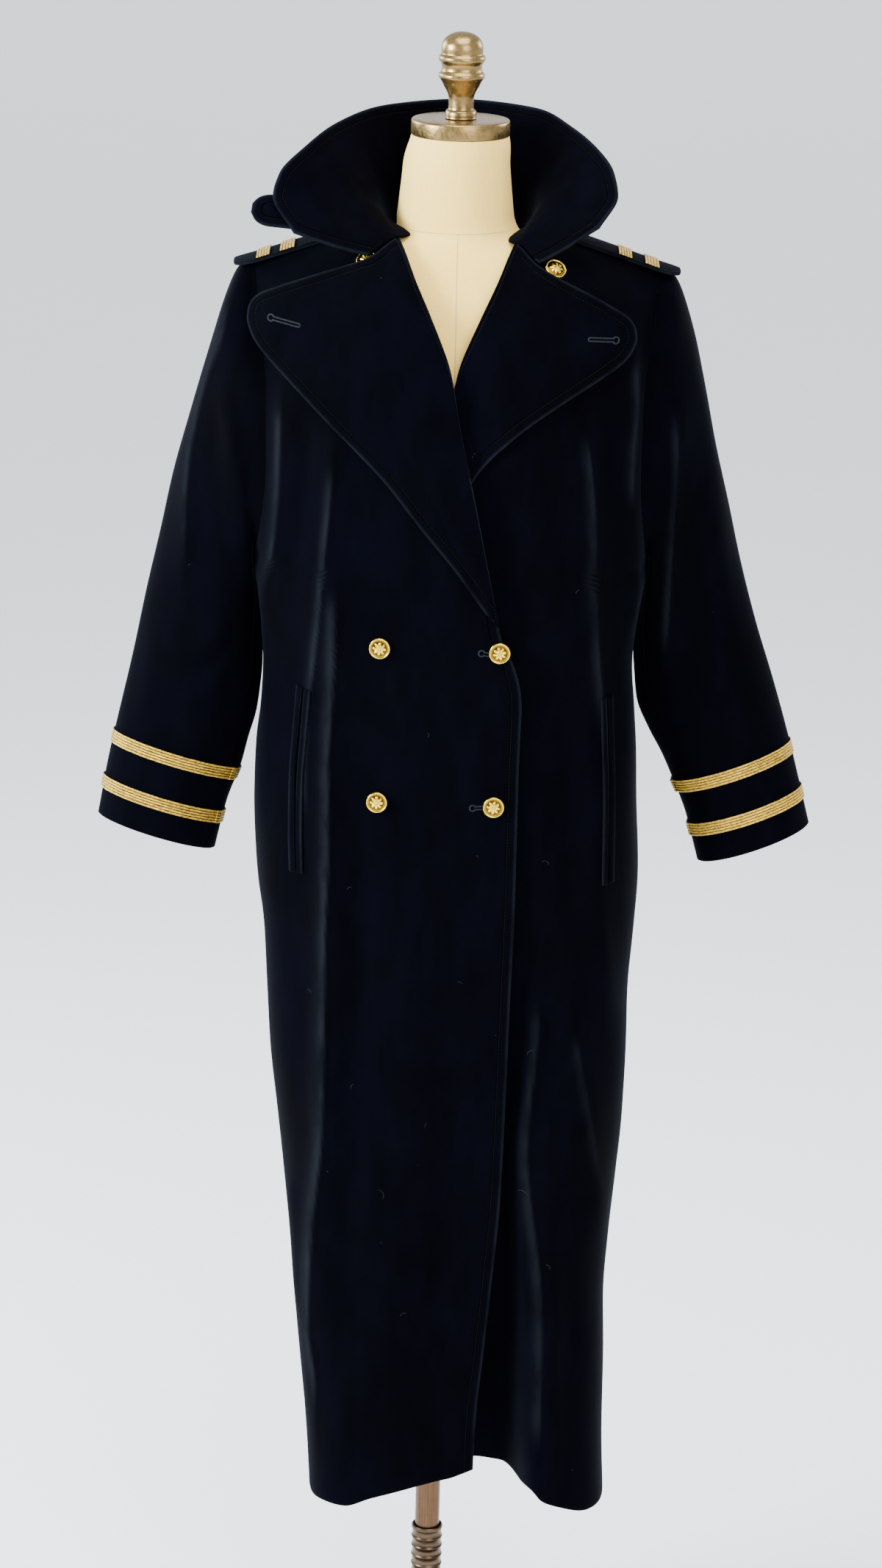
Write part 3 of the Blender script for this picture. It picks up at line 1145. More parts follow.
# ------------------------------------------------------------ coat body
@dataclass
class CoatBody:
    """The two fronts, the right one over the left, and the back."""

    finishes: Finishes
    cols: int = 32
    shoulder_rows: int = 16
    skirt_rows: int = 52
    cuts: dict[str, tuple[float, float, float]] = field(default_factory=lambda: {
        "front_right": (0.370, 1.475, 0.424), "front_left": (0.410, 1.460, 0.446),
        "back": (0.555, 1.445, 0.691)})
    grids: dict[str, ClothGrid] = field(default_factory=dict)
    panels: dict[str, bpy.types.Object] = field(default_factory=dict)

    def rows(self) -> list[float]:
        """Row values, close over the shoulder and even down the skirt."""
        zs = LOW_LEVELS[::-1]
        ts = [float(TOP_ROWS + k) for k in range(len(LOW_LEVELS))][::-1]
        skirt = [float(np.interp(z, zs, ts)) for z in np.linspace(CHEST_Z, LOW_LEVELS[-1], self.skirt_rows)]
        return even(0, TOP_ROWS, self.shoulder_rows) + skirt[1:]

    def right(self, s: float, t: float) -> Vector:
        """Point of the right front: s from the side to the front edge."""
        return panel_point(s, t, -1, lambda z: outer_x(z, -1), lambda z: RIGHT_EDGE("x", z),
                           RIGHT_HEM, right_shift)

    def left(self, s: float, t: float) -> Vector:
        """Point of the left front: s from its hidden front edge to the side."""
        return panel_point(1 - s, t, -1, lambda z: outer_x(z, 1),
                           lambda z: -RIGHT_EDGE("x", z) if z > BREAK_Z - 0.03 else -0.060,
                           LEFT_HEM, left_shift)

    def back(self, s: float, t: float) -> Vector:
        """Point of the back: s from the wearer's left side to the right."""
        if t >= TOP_ROWS:
            return panel_point(s, t, 1, lambda z: outer_x(z, 1), lambda z: outer_x(z, -1), BACK_HEM)
        x = across(TIP_X, -TIP_X, TIP_Z, s)
        y = NECK_BACK_Y * (1 - min(1.0, abs(x) / NECK_X) ** 2.4) ** 0.5
        first = math.asin((y / BODY("back", 1.62)) ** (SHOULDER_ROUND / 2)) / (math.pi / 2) * TOP_ROWS
        turn = lerp(first, TOP_ROWS, max(t, 0.0) / TOP_ROWS) / TOP_ROWS * math.pi / 2
        down = math.cos(turn) ** (2 / SHOULDER_ROUND)
        level = lerp(CHEST_Z, TIP_Z, down)
        x = across(outer_x(level, 1), outer_x(level, -1), level, s)
        return body_point(x, lerp(CHEST_Z, shoulder_z(x), down), 1)

    def build(self) -> None:
        """Build the three panels."""
        plans = (("front_right", self.right, RIGHT_CREASES, -1, ("last_col",)),
                 ("front_left", self.left, LEFT_CREASES, -1, ()),
                 ("back", self.back, BACK_CREASES, 1, ()))
        for turn, (name, place, creases, face, edges) in enumerate(plans):
            cols = even(0, 1, self.cols if face < 0 else self.cols + 8)
            grid = ClothGrid.read(place, cols, self.rows())
            grid.fold(creases, face)
            grid.ripple(0.0011, 0.16, 1.7 * turn)
            keep = np.minimum if face < 0 else np.maximum
            grid.points[..., 1] = keep(grid.points[..., 1], face * SEAM)
            self.grids[name] = grid
            piece = cloth_object(name, grid, CLOTH,
                                 self.finishes.stitched if edges else self.finishes.velvet, edges)
            self.panels[name] = wear(piece, "black_velvet", name)

    def declare(self, sewn: dict[str, list[bpy.types.Object]]) -> None:
        """State the cut of each panel, once what is sewn on it is there.

        Args:
            sewn: The pieces on each panel, such as its welts.
        """
        for name, piece in self.panels.items():
            width, length, area = self.cuts[name]
            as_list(sewn.get(name, []))


# ------------------------------------------------------------ sleeves
@dataclass
class Sleeve:
    """A two-piece sleeve with two bands of braid round the cuff."""

    side: Side
    table: Table
    finishes: Finishes
    upper: tuple[float, float] = (-126.0, 144.0)
    seam_turn: float = 0.35
    head_square: float = 2.6
    last_row: float = 11.0
    bands: tuple[tuple[str, float, float], ...] = (("lower", 0.0292, 0.0437), ("upper", 0.0788, 0.0930))
    ribs: int = 5
    rib_height: float = 0.00065
    lap_at: float = 157.0
    pitch: float = 0.13

    def place(self, degrees: float, k: float, push: float = 0.0) -> Vector:
        """Point of the sleeve.

        Args:
            degrees: Turn from the outer line, over the front, to the inside.
            k: The cross line.
            push: How far outside the cloth.

        Returns:
            The point.
        """
        side = self.side.value
        at = {c: self.table(c, k) for c in ("ox", "oz", "ix", "iz", "front", "back", "y")}
        a = math.radians(degrees)
        outer = Vector((at["ox"], at["y"], at["oz"]))
        inner = Vector((at["ix"], at["y"], at["iz"]))
        depth = at["front"] if math.sin(a) > 0 else at["back"]
        power = 2 / lerp(self.head_square, 2.0, ease(k / 4))
        c, s = (math.copysign(abs(f) ** power, f) for f in (math.cos(a), math.sin(a)))
        point = (outer + inner) / 2 + (outer - inner) / 2 * c
        point.y -= depth * s
        near = ease(1 - k / 2.4)
        if near > 0:
            head = (1 + math.cos(a)) / 2
            z = lerp(UNDERARM_Z, TIP_Z, head)
            seam = body_point(side * ARMHOLE("x", z), z, -1 if math.sin(a) > 0 else 1)
            seam.x -= side * 0.0008
            seam += Vector((side * lerp(0.0035, 0.009, head) * k, 0, -0.003 * head * k))
            point = lerp(point, seam, near)
        if push:
            point += (point - (outer + inner) / 2).normalized() * push
        point.z += self.pitch * (at["y"] - point.y) * ease((k - 6) / 3)
        return point

    def cross_lines(self, degrees: float) -> tuple[np.ndarray, np.ndarray]:
        """Distance up the cloth from the cuff's hem along one line, with the cross lines there."""
        ks = np.linspace(self.last_row, 7.5, 29)
        spots = np.array([tuple(self.place(degrees, k)) for k in ks])
        return np.append(0, np.cumsum(np.linalg.norm(np.diff(spots, axis=0), axis=1))), ks

    def crumple(self, grid: ClothGrid, rows: tuple[float, float]) -> None:
        """Raise the sleeve's creases, and at its head the body's own, on a grid of it.

        Args:
            grid: The grid.
            rows: Its first and last cross line.
        """
        near = 1 - np.linspace(*rows, grid.points.shape[0]) / 2.4
        near = (smooth(near) * (near > 0))[:, None] * np.ones(grid.points.shape[:2])
        body = RIGHT_CREASES if self.side is Side.RIGHT else LEFT_CREASES
        for face, creases in ((-1, body), (1, BACK_CREASES)):
            x, z = grid.points[..., 0], grid.points[..., 2]
            keep = near * (grid.points[..., 1] * face > 0)
            grid.points[..., 1] += face * sum(c.lift(x, z) for c in creases) * keep * 0.6
        grid.fold(SLEEVE_CREASES[self.side], -1)
        grid.fold(SLEEVE_BACK_CREASES[self.side], 1)

    def build(self) -> list[bpy.types.Object]:
        """Build the sleeve's pieces.

        Returns:
            Its upper and under piece.
        """
        turn, made = -self.side.value, []
        word = self.side.word
        for part, first, last, count in (("upper", *self.upper, 26),
                                         ("under", self.upper[1], 360 + self.upper[0], 12)):
            cols = sorted(turn * d for d in even(first + self.seam_turn, last - self.seam_turn, count))
            grid = ClothGrid.read(lambda s, t: self.place(s * turn, t), cols, even(0, self.last_row, 44))
            self.crumple(grid, (0, self.last_row))
            grid.ripple(0.0008, 0.11, turn + len(made))
            name = f"sleeve_{word}_{part}"
            piece = cloth_object(name, grid, CLOTH, self.finishes.velvet)
            wear(piece, "black_velvet", name)
            made.append(piece)
        bands = [self.band(name, low, high) for name, low, high in self.bands]
        for piece, flat, area, sheets in ((made[0], (0.40, 0.64), 0.158, bands),
                                          (made[1], (0.17, 0.40), 0.031, [])):
            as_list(sheets)
        return made

    def band(self, name: str, low: float, high: float) -> bpy.types.Object:
        """One ribbed band of braid, its end lapped over its start.

        Args:
            name: Upper or lower.
            low: Distance of its lower edge from the cuff's hem.
            high: Distance of its upper edge.

        Returns:
            The band.
        """
        turn = -self.side.value
        start, lap, count = self.lap_at, 7.0, 84
        lines: dict[float, tuple[np.ndarray, np.ndarray]] = {}

        def place(s: float, t: float) -> Vector:
            """Point of the band: s from its start round to past it."""
            degrees = start - 360 * s * (1 + lap / 360)
            over = ease((s - 0.965) / 0.008) * 0.0014
            if degrees not in lines:
                lines[degrees] = self.cross_lines(degrees)
            k = float(np.interp(lerp(high, low, t), *lines[degrees]))
            return self.place(degrees, k, BRAID + 0.0007 + over)
        cols = even(0, 1, count) if turn < 0 else even(1, 0, count)
        grid = ClothGrid.read(place, cols, even(0, 1, 10))
        self.crumple(grid, (9.0, self.last_row))
        across_band = np.linspace(0, self.ribs, grid.points.shape[0])[:, None]
        rib = np.abs(np.sin(math.pi * across_band)) ** 0.7
        u, _ = grid.lengths()
        grid.lift((rib - 0.6) * self.rib_height + 0.00012 * np.sin(u / 0.0037))
        grid.rib = rib * np.ones(grid.points.shape[:2])
        node = f"braid_{self.side.word}_{name}"
        return wear(cloth_object(node, grid, BRAID, self.finishes.braid), "gold_braid", node)


SLEEVE_RIGHT = Table("k ox oz ix iz front back y", [
    (0, -0.2090, 1.6075, -0.2060, 1.2990, 0.072, 0.064, 0.000),
    (1, -0.2230, 1.6000, -0.2024, 1.2860, 0.072, 0.064, 0.000),
    (2, -0.2350, 1.5720, -0.1984, 1.2600, 0.071, 0.065, 0.000),
    (3, -0.2540, 1.5100, -0.1952, 1.2340, 0.069, 0.065, 0.002),
    (4, -0.2710, 1.4490, -0.1932, 1.2080, 0.066, 0.064, 0.003),
    (5, -0.2880, 1.3860, -0.1932, 1.1850, 0.063, 0.062, 0.003),
    (6, -0.3010, 1.3240, -0.1952, 1.1600, 0.060, 0.060, 0.002),
    (7, -0.3150, 1.2610, -0.1990, 1.1330, 0.057, 0.058, 0.000),
    (8, -0.3280, 1.1970, -0.2075, 1.1040, 0.054, 0.055, -0.004),
    (9, -0.3420, 1.1330, -0.2150, 1.0750, 0.051, 0.052, -0.008),
    (10, -0.3550, 1.0720, -0.2280, 1.0400, 0.049, 0.050, -0.012),
    (11, -0.3640, 1.0210, -0.2410, 0.9850, 0.048, 0.048, -0.014)])
SLEEVE_LEFT = Table("k ox oz ix iz front back y", [
    (0, 0.2090, 1.6075, 0.2060, 1.2990, 0.072, 0.064, 0.000),
    (1, 0.2250, 1.6000, 0.2024, 1.2860, 0.072, 0.064, 0.000),
    (2, 0.2410, 1.5530, 0.1982, 1.2580, 0.071, 0.065, 0.000),
    (3, 0.2560, 1.4920, 0.1950, 1.2320, 0.069, 0.065, 0.002),
    (4, 0.2700, 1.4310, 0.1932, 1.2070, 0.066, 0.064, 0.003),
    (5, 0.2860, 1.3690, 0.1950, 1.1840, 0.063, 0.062, 0.003),
    (6, 0.3010, 1.3070, 0.1985, 1.1550, 0.060, 0.060, 0.002),
    (7, 0.3190, 1.2450, 0.2110, 1.1250, 0.057, 0.058, 0.000),
    (8, 0.3400, 1.1820, 0.2260, 1.0980, 0.054, 0.055, -0.004),
    (9, 0.3590, 1.1180, 0.2400, 1.0680, 0.051, 0.052, -0.008),
    (10, 0.3750, 1.0600, 0.2540, 1.0350, 0.049, 0.050, -0.012),
    (11, 0.3837, 1.0280, 0.2680, 0.9840, 0.048, 0.048, -0.014)])


# ------------------------------------------------------------ stitching and buttonholes
def topstitch(name: str, grid: ClothGrid, finish: bpy.types.Material, lines: Sequence[np.ndarray],
              pitch: float = 0.0036, stitch: float = 0.0027) -> bpy.types.Object:
    """Rows of single stitches lying in their pressed groove.

    Args:
        name: The piece's name.
        grid: The cloth under them, for its outward direction.
        finish: The thread.
        lines: The rows, as points on the cloth.
        pitch: From one stitch to the next.
        stitch: Length of one stitch.

    Returns:
        The piece, riding on the figure.
    """
    paths = []
    for line in lines:
        gone = np.concatenate([[0], np.cumsum(np.linalg.norm(np.diff(line, axis=0), axis=1))])
        for start in np.arange(pitch, gone[-1] - pitch, pitch):
            at = start + stitch * np.linspace(0, 1, 4)
            path = np.stack([np.interp(at, gone, line[:, i]) for i in range(3)], -1)
            paths.append(path)
    piece = tubes(name, paths, 0.00026, finish, 5)
    return wear(piece, "black_velvet")


def inset_line(grid: ClothGrid, edges: Sequence[str], along: str, inset: float = STITCH_IN,
               lift: float = 0.0001) -> np.ndarray:
    """The line on a cloth at a fixed distance in from its free edges.

    Args:
        grid: The cloth.
        edges: The edges that count.
        along: rows, to look in from the last column of each row, or cols, from its first row.
        inset: The distance.
        lift: How far above the cloth the line lies.

    Returns:
        The line's points.
    """
    gap, normals = grid.edge_gap(edges), grid.normals()
    points = grid.points + normals * lift
    if along == "cols":
        gap, points = gap.T, np.swapaxes(points, 0, 1)
    elif along == "rows":
        gap, points = gap[:, ::-1], points[:, ::-1]
    found = []
    for distances, spots in zip(gap, points):
        past = np.nonzero(distances >= inset)[0]
        if len(past) and past[0] > 0:
            i = past[0]
            share = (inset - distances[i - 1]) / (distances[i] - distances[i - 1])
            if 0 <= share <= 1:
                found.append(lerp(spots[i - 1], spots[i], share))
    return np.array(found)


@dataclass
class Keyhole:
    """A worked buttonhole: purl stitches round a slit that ends in an eyelet."""

    name: str
    eyelet: tuple[float, float]
    foot: tuple[float, float]
    grid: ClothGrid
    finish: bpy.types.Material
    half_slit: float = 0.0007
    eyelet_radius: float = 0.0022
    band: float = 0.0019
    pitch: float = 0.00085
    height: float = 0.0008

    def outline(self, count: int) -> list[tuple[float, float, float, float]]:
        """The slit's outline.

        Args:
            count: How many points.

        Returns:
            Each point and its outward direction, in metres from the eyelet's centre.
        """
        length = math.dist(self.eyelet, self.foot)
        turn = math.asin(self.half_slit / self.eyelet_radius)
        round_ = self.eyelet_radius * (2 * math.pi - 2 * turn)
        straight = length - self.eyelet_radius * math.cos(turn)
        end = math.pi * self.half_slit
        total = round_ + 2 * straight + end
        out = []
        for k in range(count):
            at = total * k / count
            if at < round_:
                a = turn + at / self.eyelet_radius
                out.append((self.eyelet_radius * math.cos(a), self.eyelet_radius * math.sin(a),
                            math.cos(a), math.sin(a)))
                continue
            at -= round_
            if at < straight:
                out.append((self.eyelet_radius * math.cos(turn) + at, -self.half_slit, 0.0, -1.0))
                continue
            at -= straight
            if at < end:
                a = at / self.half_slit - math.pi / 2
                out.append((length + self.half_slit * math.cos(a), self.half_slit * math.sin(a),
                            math.cos(a), math.sin(a)))
                continue
            at -= end
            out.append((length - at, self.half_slit, 0.0, 1.0))
        return out

    def build(self) -> bpy.types.Object:
        """Build the buttonhole on its cloth."""
        length = math.dist(self.eyelet, self.foot)
        way = ((self.foot[0] - self.eyelet[0]) / length, (self.foot[1] - self.eyelet[1]) / length)
        count, steps = int((2 * length + 0.012) / self.pitch) * 4, 5
        verts = []
        for k, (px, py, nx, ny) in enumerate(self.outline(count)):
            purl = 0.72 + 0.28 * math.cos(2 * math.pi * k / 4)
            for j in range(steps):
                v = j / (steps - 1)
                lx, ly = px + nx * self.band * v, py + ny * self.band * v
                spot, normal = self.grid.at(self.eyelet[0] + way[0] * lx - way[1] * ly,
                                            self.eyelet[1] + way[1] * lx + way[0] * ly)
                rise = self.height * math.sin(math.pi * (0.12 + 0.88 * v)) ** 0.6 * purl
                verts.append(spot + normal * (rise - (0.0005 if j in (0, steps - 1) else 0)))
        faces = [(k * steps + j, k * steps + j + 1, (k + 1) % count * steps + j + 1,
                  (k + 1) % count * steps + j) for k in range(count) for j in range(steps - 1)]
        piece = mesh_object(self.name, np.array([tuple(v) for v in verts]), faces, self.finish)
        wall = piece.modifiers.new("under", "SOLIDIFY")
        wall.thickness, wall.offset = 0.0004, -1
        return wear(piece, "black_velvet")


# ------------------------------------------------------------ lapels
LAPEL_RIGHT = Table("k rz ox oz", [
    (0, 1.6450, -0.1960, 1.5890), (0.5, 1.6320, -0.2050, 1.5820), (1, 1.6160, -0.2095, 1.5730),
    (1.5, 1.5980, -0.2105, 1.5630), (2, 1.5780, -0.2070, 1.5510), (2.5, 1.5570, -0.2010, 1.5410),
    (3, 1.5340, -0.1910, 1.5300), (4, 1.4860, -0.1580, 1.4990), (5, 1.4360, -0.1180, 1.4610),
    (6, 1.3860, -0.0710, 1.4160), (7, 1.3380, -0.0310, 1.3670), (8, 1.2980, 0.0080, 1.3200),
    (9, 1.2640, 0.0370, 1.2800)])
LAPEL_LEFT = Table("k rz ox oz", [
    (0, 1.6420, 0.1660, 1.5800), (0.5, 1.6290, 0.1755, 1.5730), (1, 1.6130, 0.1810, 1.5630),
    (1.5, 1.5950, 0.1820, 1.5540), (2, 1.5750, 0.1780, 1.5430), (2.5, 1.5530, 0.1700, 1.5330),
    (3, 1.5290, 0.1560, 1.5230), (4, 1.4820, 0.1140, 1.4970), (5, 1.4360, 0.0640, 1.4620),
    (6, 1.3880, 0.0290, 1.4260), (7, 1.3400, 0.0020, 1.3750), (8, 1.2980, -0.0200, 1.3250),
    (9, 1.2640, -0.0400, 1.2790)])


@dataclass
class Lapel:
    """The front turned back above its break, with its keyhole and topstitching."""

    side: Side
    finishes: Finishes
    eyelet: tuple[float, float]
    foot: tuple[float, float]
    gorge_dip: float = 0.0055
    grid: ClothGrid | None = None

    @staticmethod
    def chest_y(x: float, z: float, s: float) -> float:
        """Front of the chest under a lapel; past its roll it clears the falling shoulder.

        Args:
            x: Across.
            z: Up.
            s: Share from the roll to the outer edge.

        Returns:
            The y there.
        """
        close = body_point(x, z, -1).y
        w = max(0.0, (z - CHEST_Z) / (shoulder_z(x) + 0.022 * ease(s / 0.8) - CHEST_Z))
        free = -section(z, -1)[2] * (1 - abs(x / 0.262) ** 2.2) ** (1 / 2.2)
        free *= (1 - min(1.0, w) ** SHOULDER_ROUND) ** (1 / SHOULDER_ROUND)
        return lerp(close, min(close, free), ease(s / 0.7))

    def place(self, s: float, k: float) -> Vector:
        """Outer face of the lapel: s from the roll to the outer edge, k down it."""
        side = self.side.value
        tab = LAPEL_RIGHT if side < 0 else LAPEL_LEFT
        rz, ox, oz = (tab(c, k) for c in ("rz", "ox", "oz"))
        rx = -side * (RIGHT_EDGE("x", rz) + 0.0008)
        x, z = lerp(rx, ox, s), lerp(rz, oz, s)
        z -= self.gorge_dip * ease(s / 0.2) * (1 - ease((s - 0.25) / 0.6)) * max(0.0, 1 - k / 3)
        y = self.chest_y(x, z, s)
        slope = (y - self.chest_y(x, z - 0.001, s)) / 0.001
        wide = min(1.0, math.hypot(ox - rx, oz - rz) / 0.09)
        lift = 0.0042 + wide * 0.0020 * math.sin(math.pi * min(1.0, s / 0.5)) + 0.0008 * ease(s / 0.4)
        if side < 0:
            lift += 0.0052 * math.exp(-((s - 0.2) / 0.17) ** 2) * ease(1 - k / 2.6)
        lift *= min(2.2, math.hypot(1, slope))
        if side > 0:
            out = ease((x - RIGHT_EDGE("x", z) - 0.006) / 0.050)
            lift = lerp(-LEFT_LAPEL_SUNK, lift, out)
        return Vector((x, y - lift, z))

    def build(self) -> bpy.types.Object:
        """Build the lapel with what is sewn on it.

        Returns:
            The lapel.
        """
        side, word = self.side.value, self.side.word
        rows = sorted(even(0, 3, 14) + even(3.3, 9, 20))
        cols = sorted(s * side for s in even(0, 1, 22))
        self.grid = ClothGrid.read(lambda s, k: self.place(s * side, k), cols, rows)
        self.grid.ripple(0.0006, 0.10, side)
        outer = "first_col" if side < 0 else "last_col"
        edges = (outer, "first_row")
        piece = cloth_object(f"lapel_{word}", self.grid, DOUBLED, self.finishes.stitched, edges, 0.45)
        wear(piece, "black_velvet", f"lapel_{word}")
        view = ClothGrid(self.grid.points[:, ::-1] if side < 0 else self.grid.points)
        line = inset_line(view, ("last_col", "first_row"), "rows",
                          lift=-0.0001 if side < 0 else 0.0001)
        threads = topstitch(f"topstitch_lapel_{word}", self.grid, self.finishes.thread, [line])
        hole = Keyhole(f"keyhole_lapel_{word}", self.eyelet, self.foot, self.grid,
                       self.finishes.slate).build()
        return piece


# ------------------------------------------------------------ collar
COLLAR = Table("k fx fy fz ex ey ez bow", [
    (0, -0.0896, -0.0736, 1.6290, -0.1640, -0.0760, 1.6490, -0.002),
    (1, -0.0628, -0.0583, 1.6456, -0.1860, -0.0560, 1.6820, 0.008),
    (2, -0.0690, -0.0250, 1.6545, -0.1800, -0.0430, 1.7040, 0.013),
    (3, -0.0740, 0.0000, 1.6550, -0.1560, -0.0180, 1.7270, 0.013),
    (4, -0.0670, 0.0330, 1.6508, -0.1240, 0.0200, 1.7470, 0.011),
    (5, -0.0420, 0.0610, 1.6378, -0.0770, 0.0660, 1.7590, 0.008),
    (6, 0.0000, 0.0725, 1.6356, 0.0020, 0.0940, 1.7630, 0.006),
    (7, 0.0420, 0.0610, 1.6378, 0.0770, 0.0620, 1.7600, 0.008),
    (8, 0.0670, 0.0330, 1.6508, 0.1120, 0.0200, 1.7480, 0.011),
    (9, 0.0740, 0.0000, 1.6550, 0.1370, -0.0180, 1.7330, 0.013),
    (10, 0.0690, -0.0280, 1.6545, 0.1540, -0.0430, 1.7130, 0.013),
    (11, 0.0605, -0.0638, 1.6427, 0.1590, -0.0560, 1.6900, 0.008),
    (12, 0.0816, -0.0805, 1.6250, 0.1400, -0.0760, 1.6620, -0.002)])


@dataclass
class Collar:
    """The tall collar with two flared wings, and the throat tab behind one of them."""

    finishes: Finishes
    lapels: dict[Side, Lapel]
    last: int = 12
    gorge: float = 0.20
    gorge_gap: float = 0.0014
    let_in: Table = field(default_factory=lambda: Table("k share", [
        (0.7, 0.0), (1.0, 0.025), (1.35, 0.12), (1.6, 0.16), (2.0, 0.10), (3.0, 0.085), (9.0, 0.085),
        (10.0, 0.10), (10.4, 0.16), (10.65, 0.12), (11.0, 0.025), (11.3, 0.0)]))
    tab_tip: tuple[float, float, float] = (-0.2065, -0.0540, 1.6680)
    tab_half: float = 0.0180
    tab_round: float = 0.020
    creases: tuple[Crease, ...] = (
        crease(2.6, 12, 16, 16, 20, (1.722, -0.142), (1.703, -0.122), (1.684, -0.100), (1.664, -0.078)),
        crease(-2.2, 12, 12, 16, 20, (1.702, -0.152), (1.684, -0.132), (1.668, -0.108), (1.655, -0.086)),
        crease(2.4, 14, 12, 16, 20, (1.728, 0.124), (1.708, 0.110), (1.686, 0.094), (1.664, 0.076)),
        crease(-2.0, 12, 12, 16, 20, (1.706, 0.134), (1.688, 0.116), (1.670, 0.098), (1.656, 0.082)),
        crease(1.4, 9, 9, 14, 14, (1.690, -0.162), (1.670, -0.140), (1.652, -0.112)))

    def foot(self, k: float) -> Vector:
        """Where the collar starts: on the gorge of each lapel, on the neckline between."""
        if 1 <= k <= self.last - 1:
            return Vector([COLLAR(c, k) for c in ("fx", "fy", "fz")])
        lapel = self.lapels[Side.RIGHT if k < 1 else Side.LEFT]
        share = self.gorge * (1 - k if k < 1 else k - (self.last - 1))
        here = lapel.place(share, 0)
        return here + (here - lapel.place(share, 0.05)).normalized() * self.gorge_gap

    def place(self, k: float, v: float) -> Vector:
        """Inner face of the collar: v from the neckline (0) to the free edge (1)."""
        foot = self.foot(k)
        edge = Vector([COLLAR(c, k) for c in ("ex", "ey", "ez")])
        inward = Vector((-foot.x, 0.01 - foot.y, 0)).normalized() * 0.6 + Vector((0, 0, 0.6))
        bow = COLLAR("bow", k) * math.sin(math.pi * min(1.0, max(0.0, v)) ** 0.8)
        return lerp(foot, edge, v) + inward * bow

    def build(self) -> None:
        """Build the collar, its topstitching and its tab."""
        def inner(s: float, t: float) -> Vector:
            """Inner face, its foot let in below the neckline between the two gorges."""
            k = self.last * s
            return self.place(k, 1 - t * (1 + self.let_in("share", k)))
        grid = ClothGrid.read(inner, even(0, 1, 60), even(0, 1, 14))
        front = smooth((0.03 - grid.points[..., 1]) / 0.04)
        x, z = grid.points[..., 0], grid.points[..., 2]
        grid.lift(sum(c.lift(x, z) for c in self.creases) * front)
        grid.ripple(0.0006, 0.08, 0.8)
        edges = ("first_row", "first_col", "last_col")
        piece = cloth_object("collar", grid, DOUBLED, self.finishes.stitched, edges, 0.45)
        wear(piece, "black_velvet", "collar")
        line = inset_line(grid, edges, "cols")
        threads = topstitch("topstitch_collar", grid, self.finishes.thread, [line])
        self.build_tab()

    def build_tab(self) -> None:
        """The rounded throat tab, buttoned back behind the right wing."""
        behind = (self.place(0.8, 0.9) - self.place(0.8, 0.7)).cross(
            self.place(0.9, 0.8) - self.place(0.7, 0.8)).normalized()
        root = self.place(0.70, 0.80) + behind * (DOUBLED + 0.0038)
        tip = Vector(self.tab_tip)
        along = (root - tip).normalized()
        up = along.cross(behind).normalized()

        def place(s: float, t: float) -> Vector:
            """Point of the tab: s from its tip, t across it."""
            end = max(0.0, 1 - s / self.tab_round)
            half = self.tab_half * (1 - (end * 0.99) ** 2.2) ** (1 / 2.2)
            return tip + along * s - up * lerp(half, -half, t)
        length = (root - tip).length
        cols = [0.0, 0.0006, 0.0016, 0.0030, 0.0045, 0.0065] + even(0.0090, length, 12)
        grid = ClothGrid.read(place, cols, even(0, 1, 12))
        grid.ripple(0.0005, 0.05, 0.3)
        piece = cloth_object("collar_tab", grid, DOUBLED, self.finishes.stitched,
                             ("first_col", "first_row", "last_row"), 0.45)
        wear(piece, "black_velvet", "collar_tab")


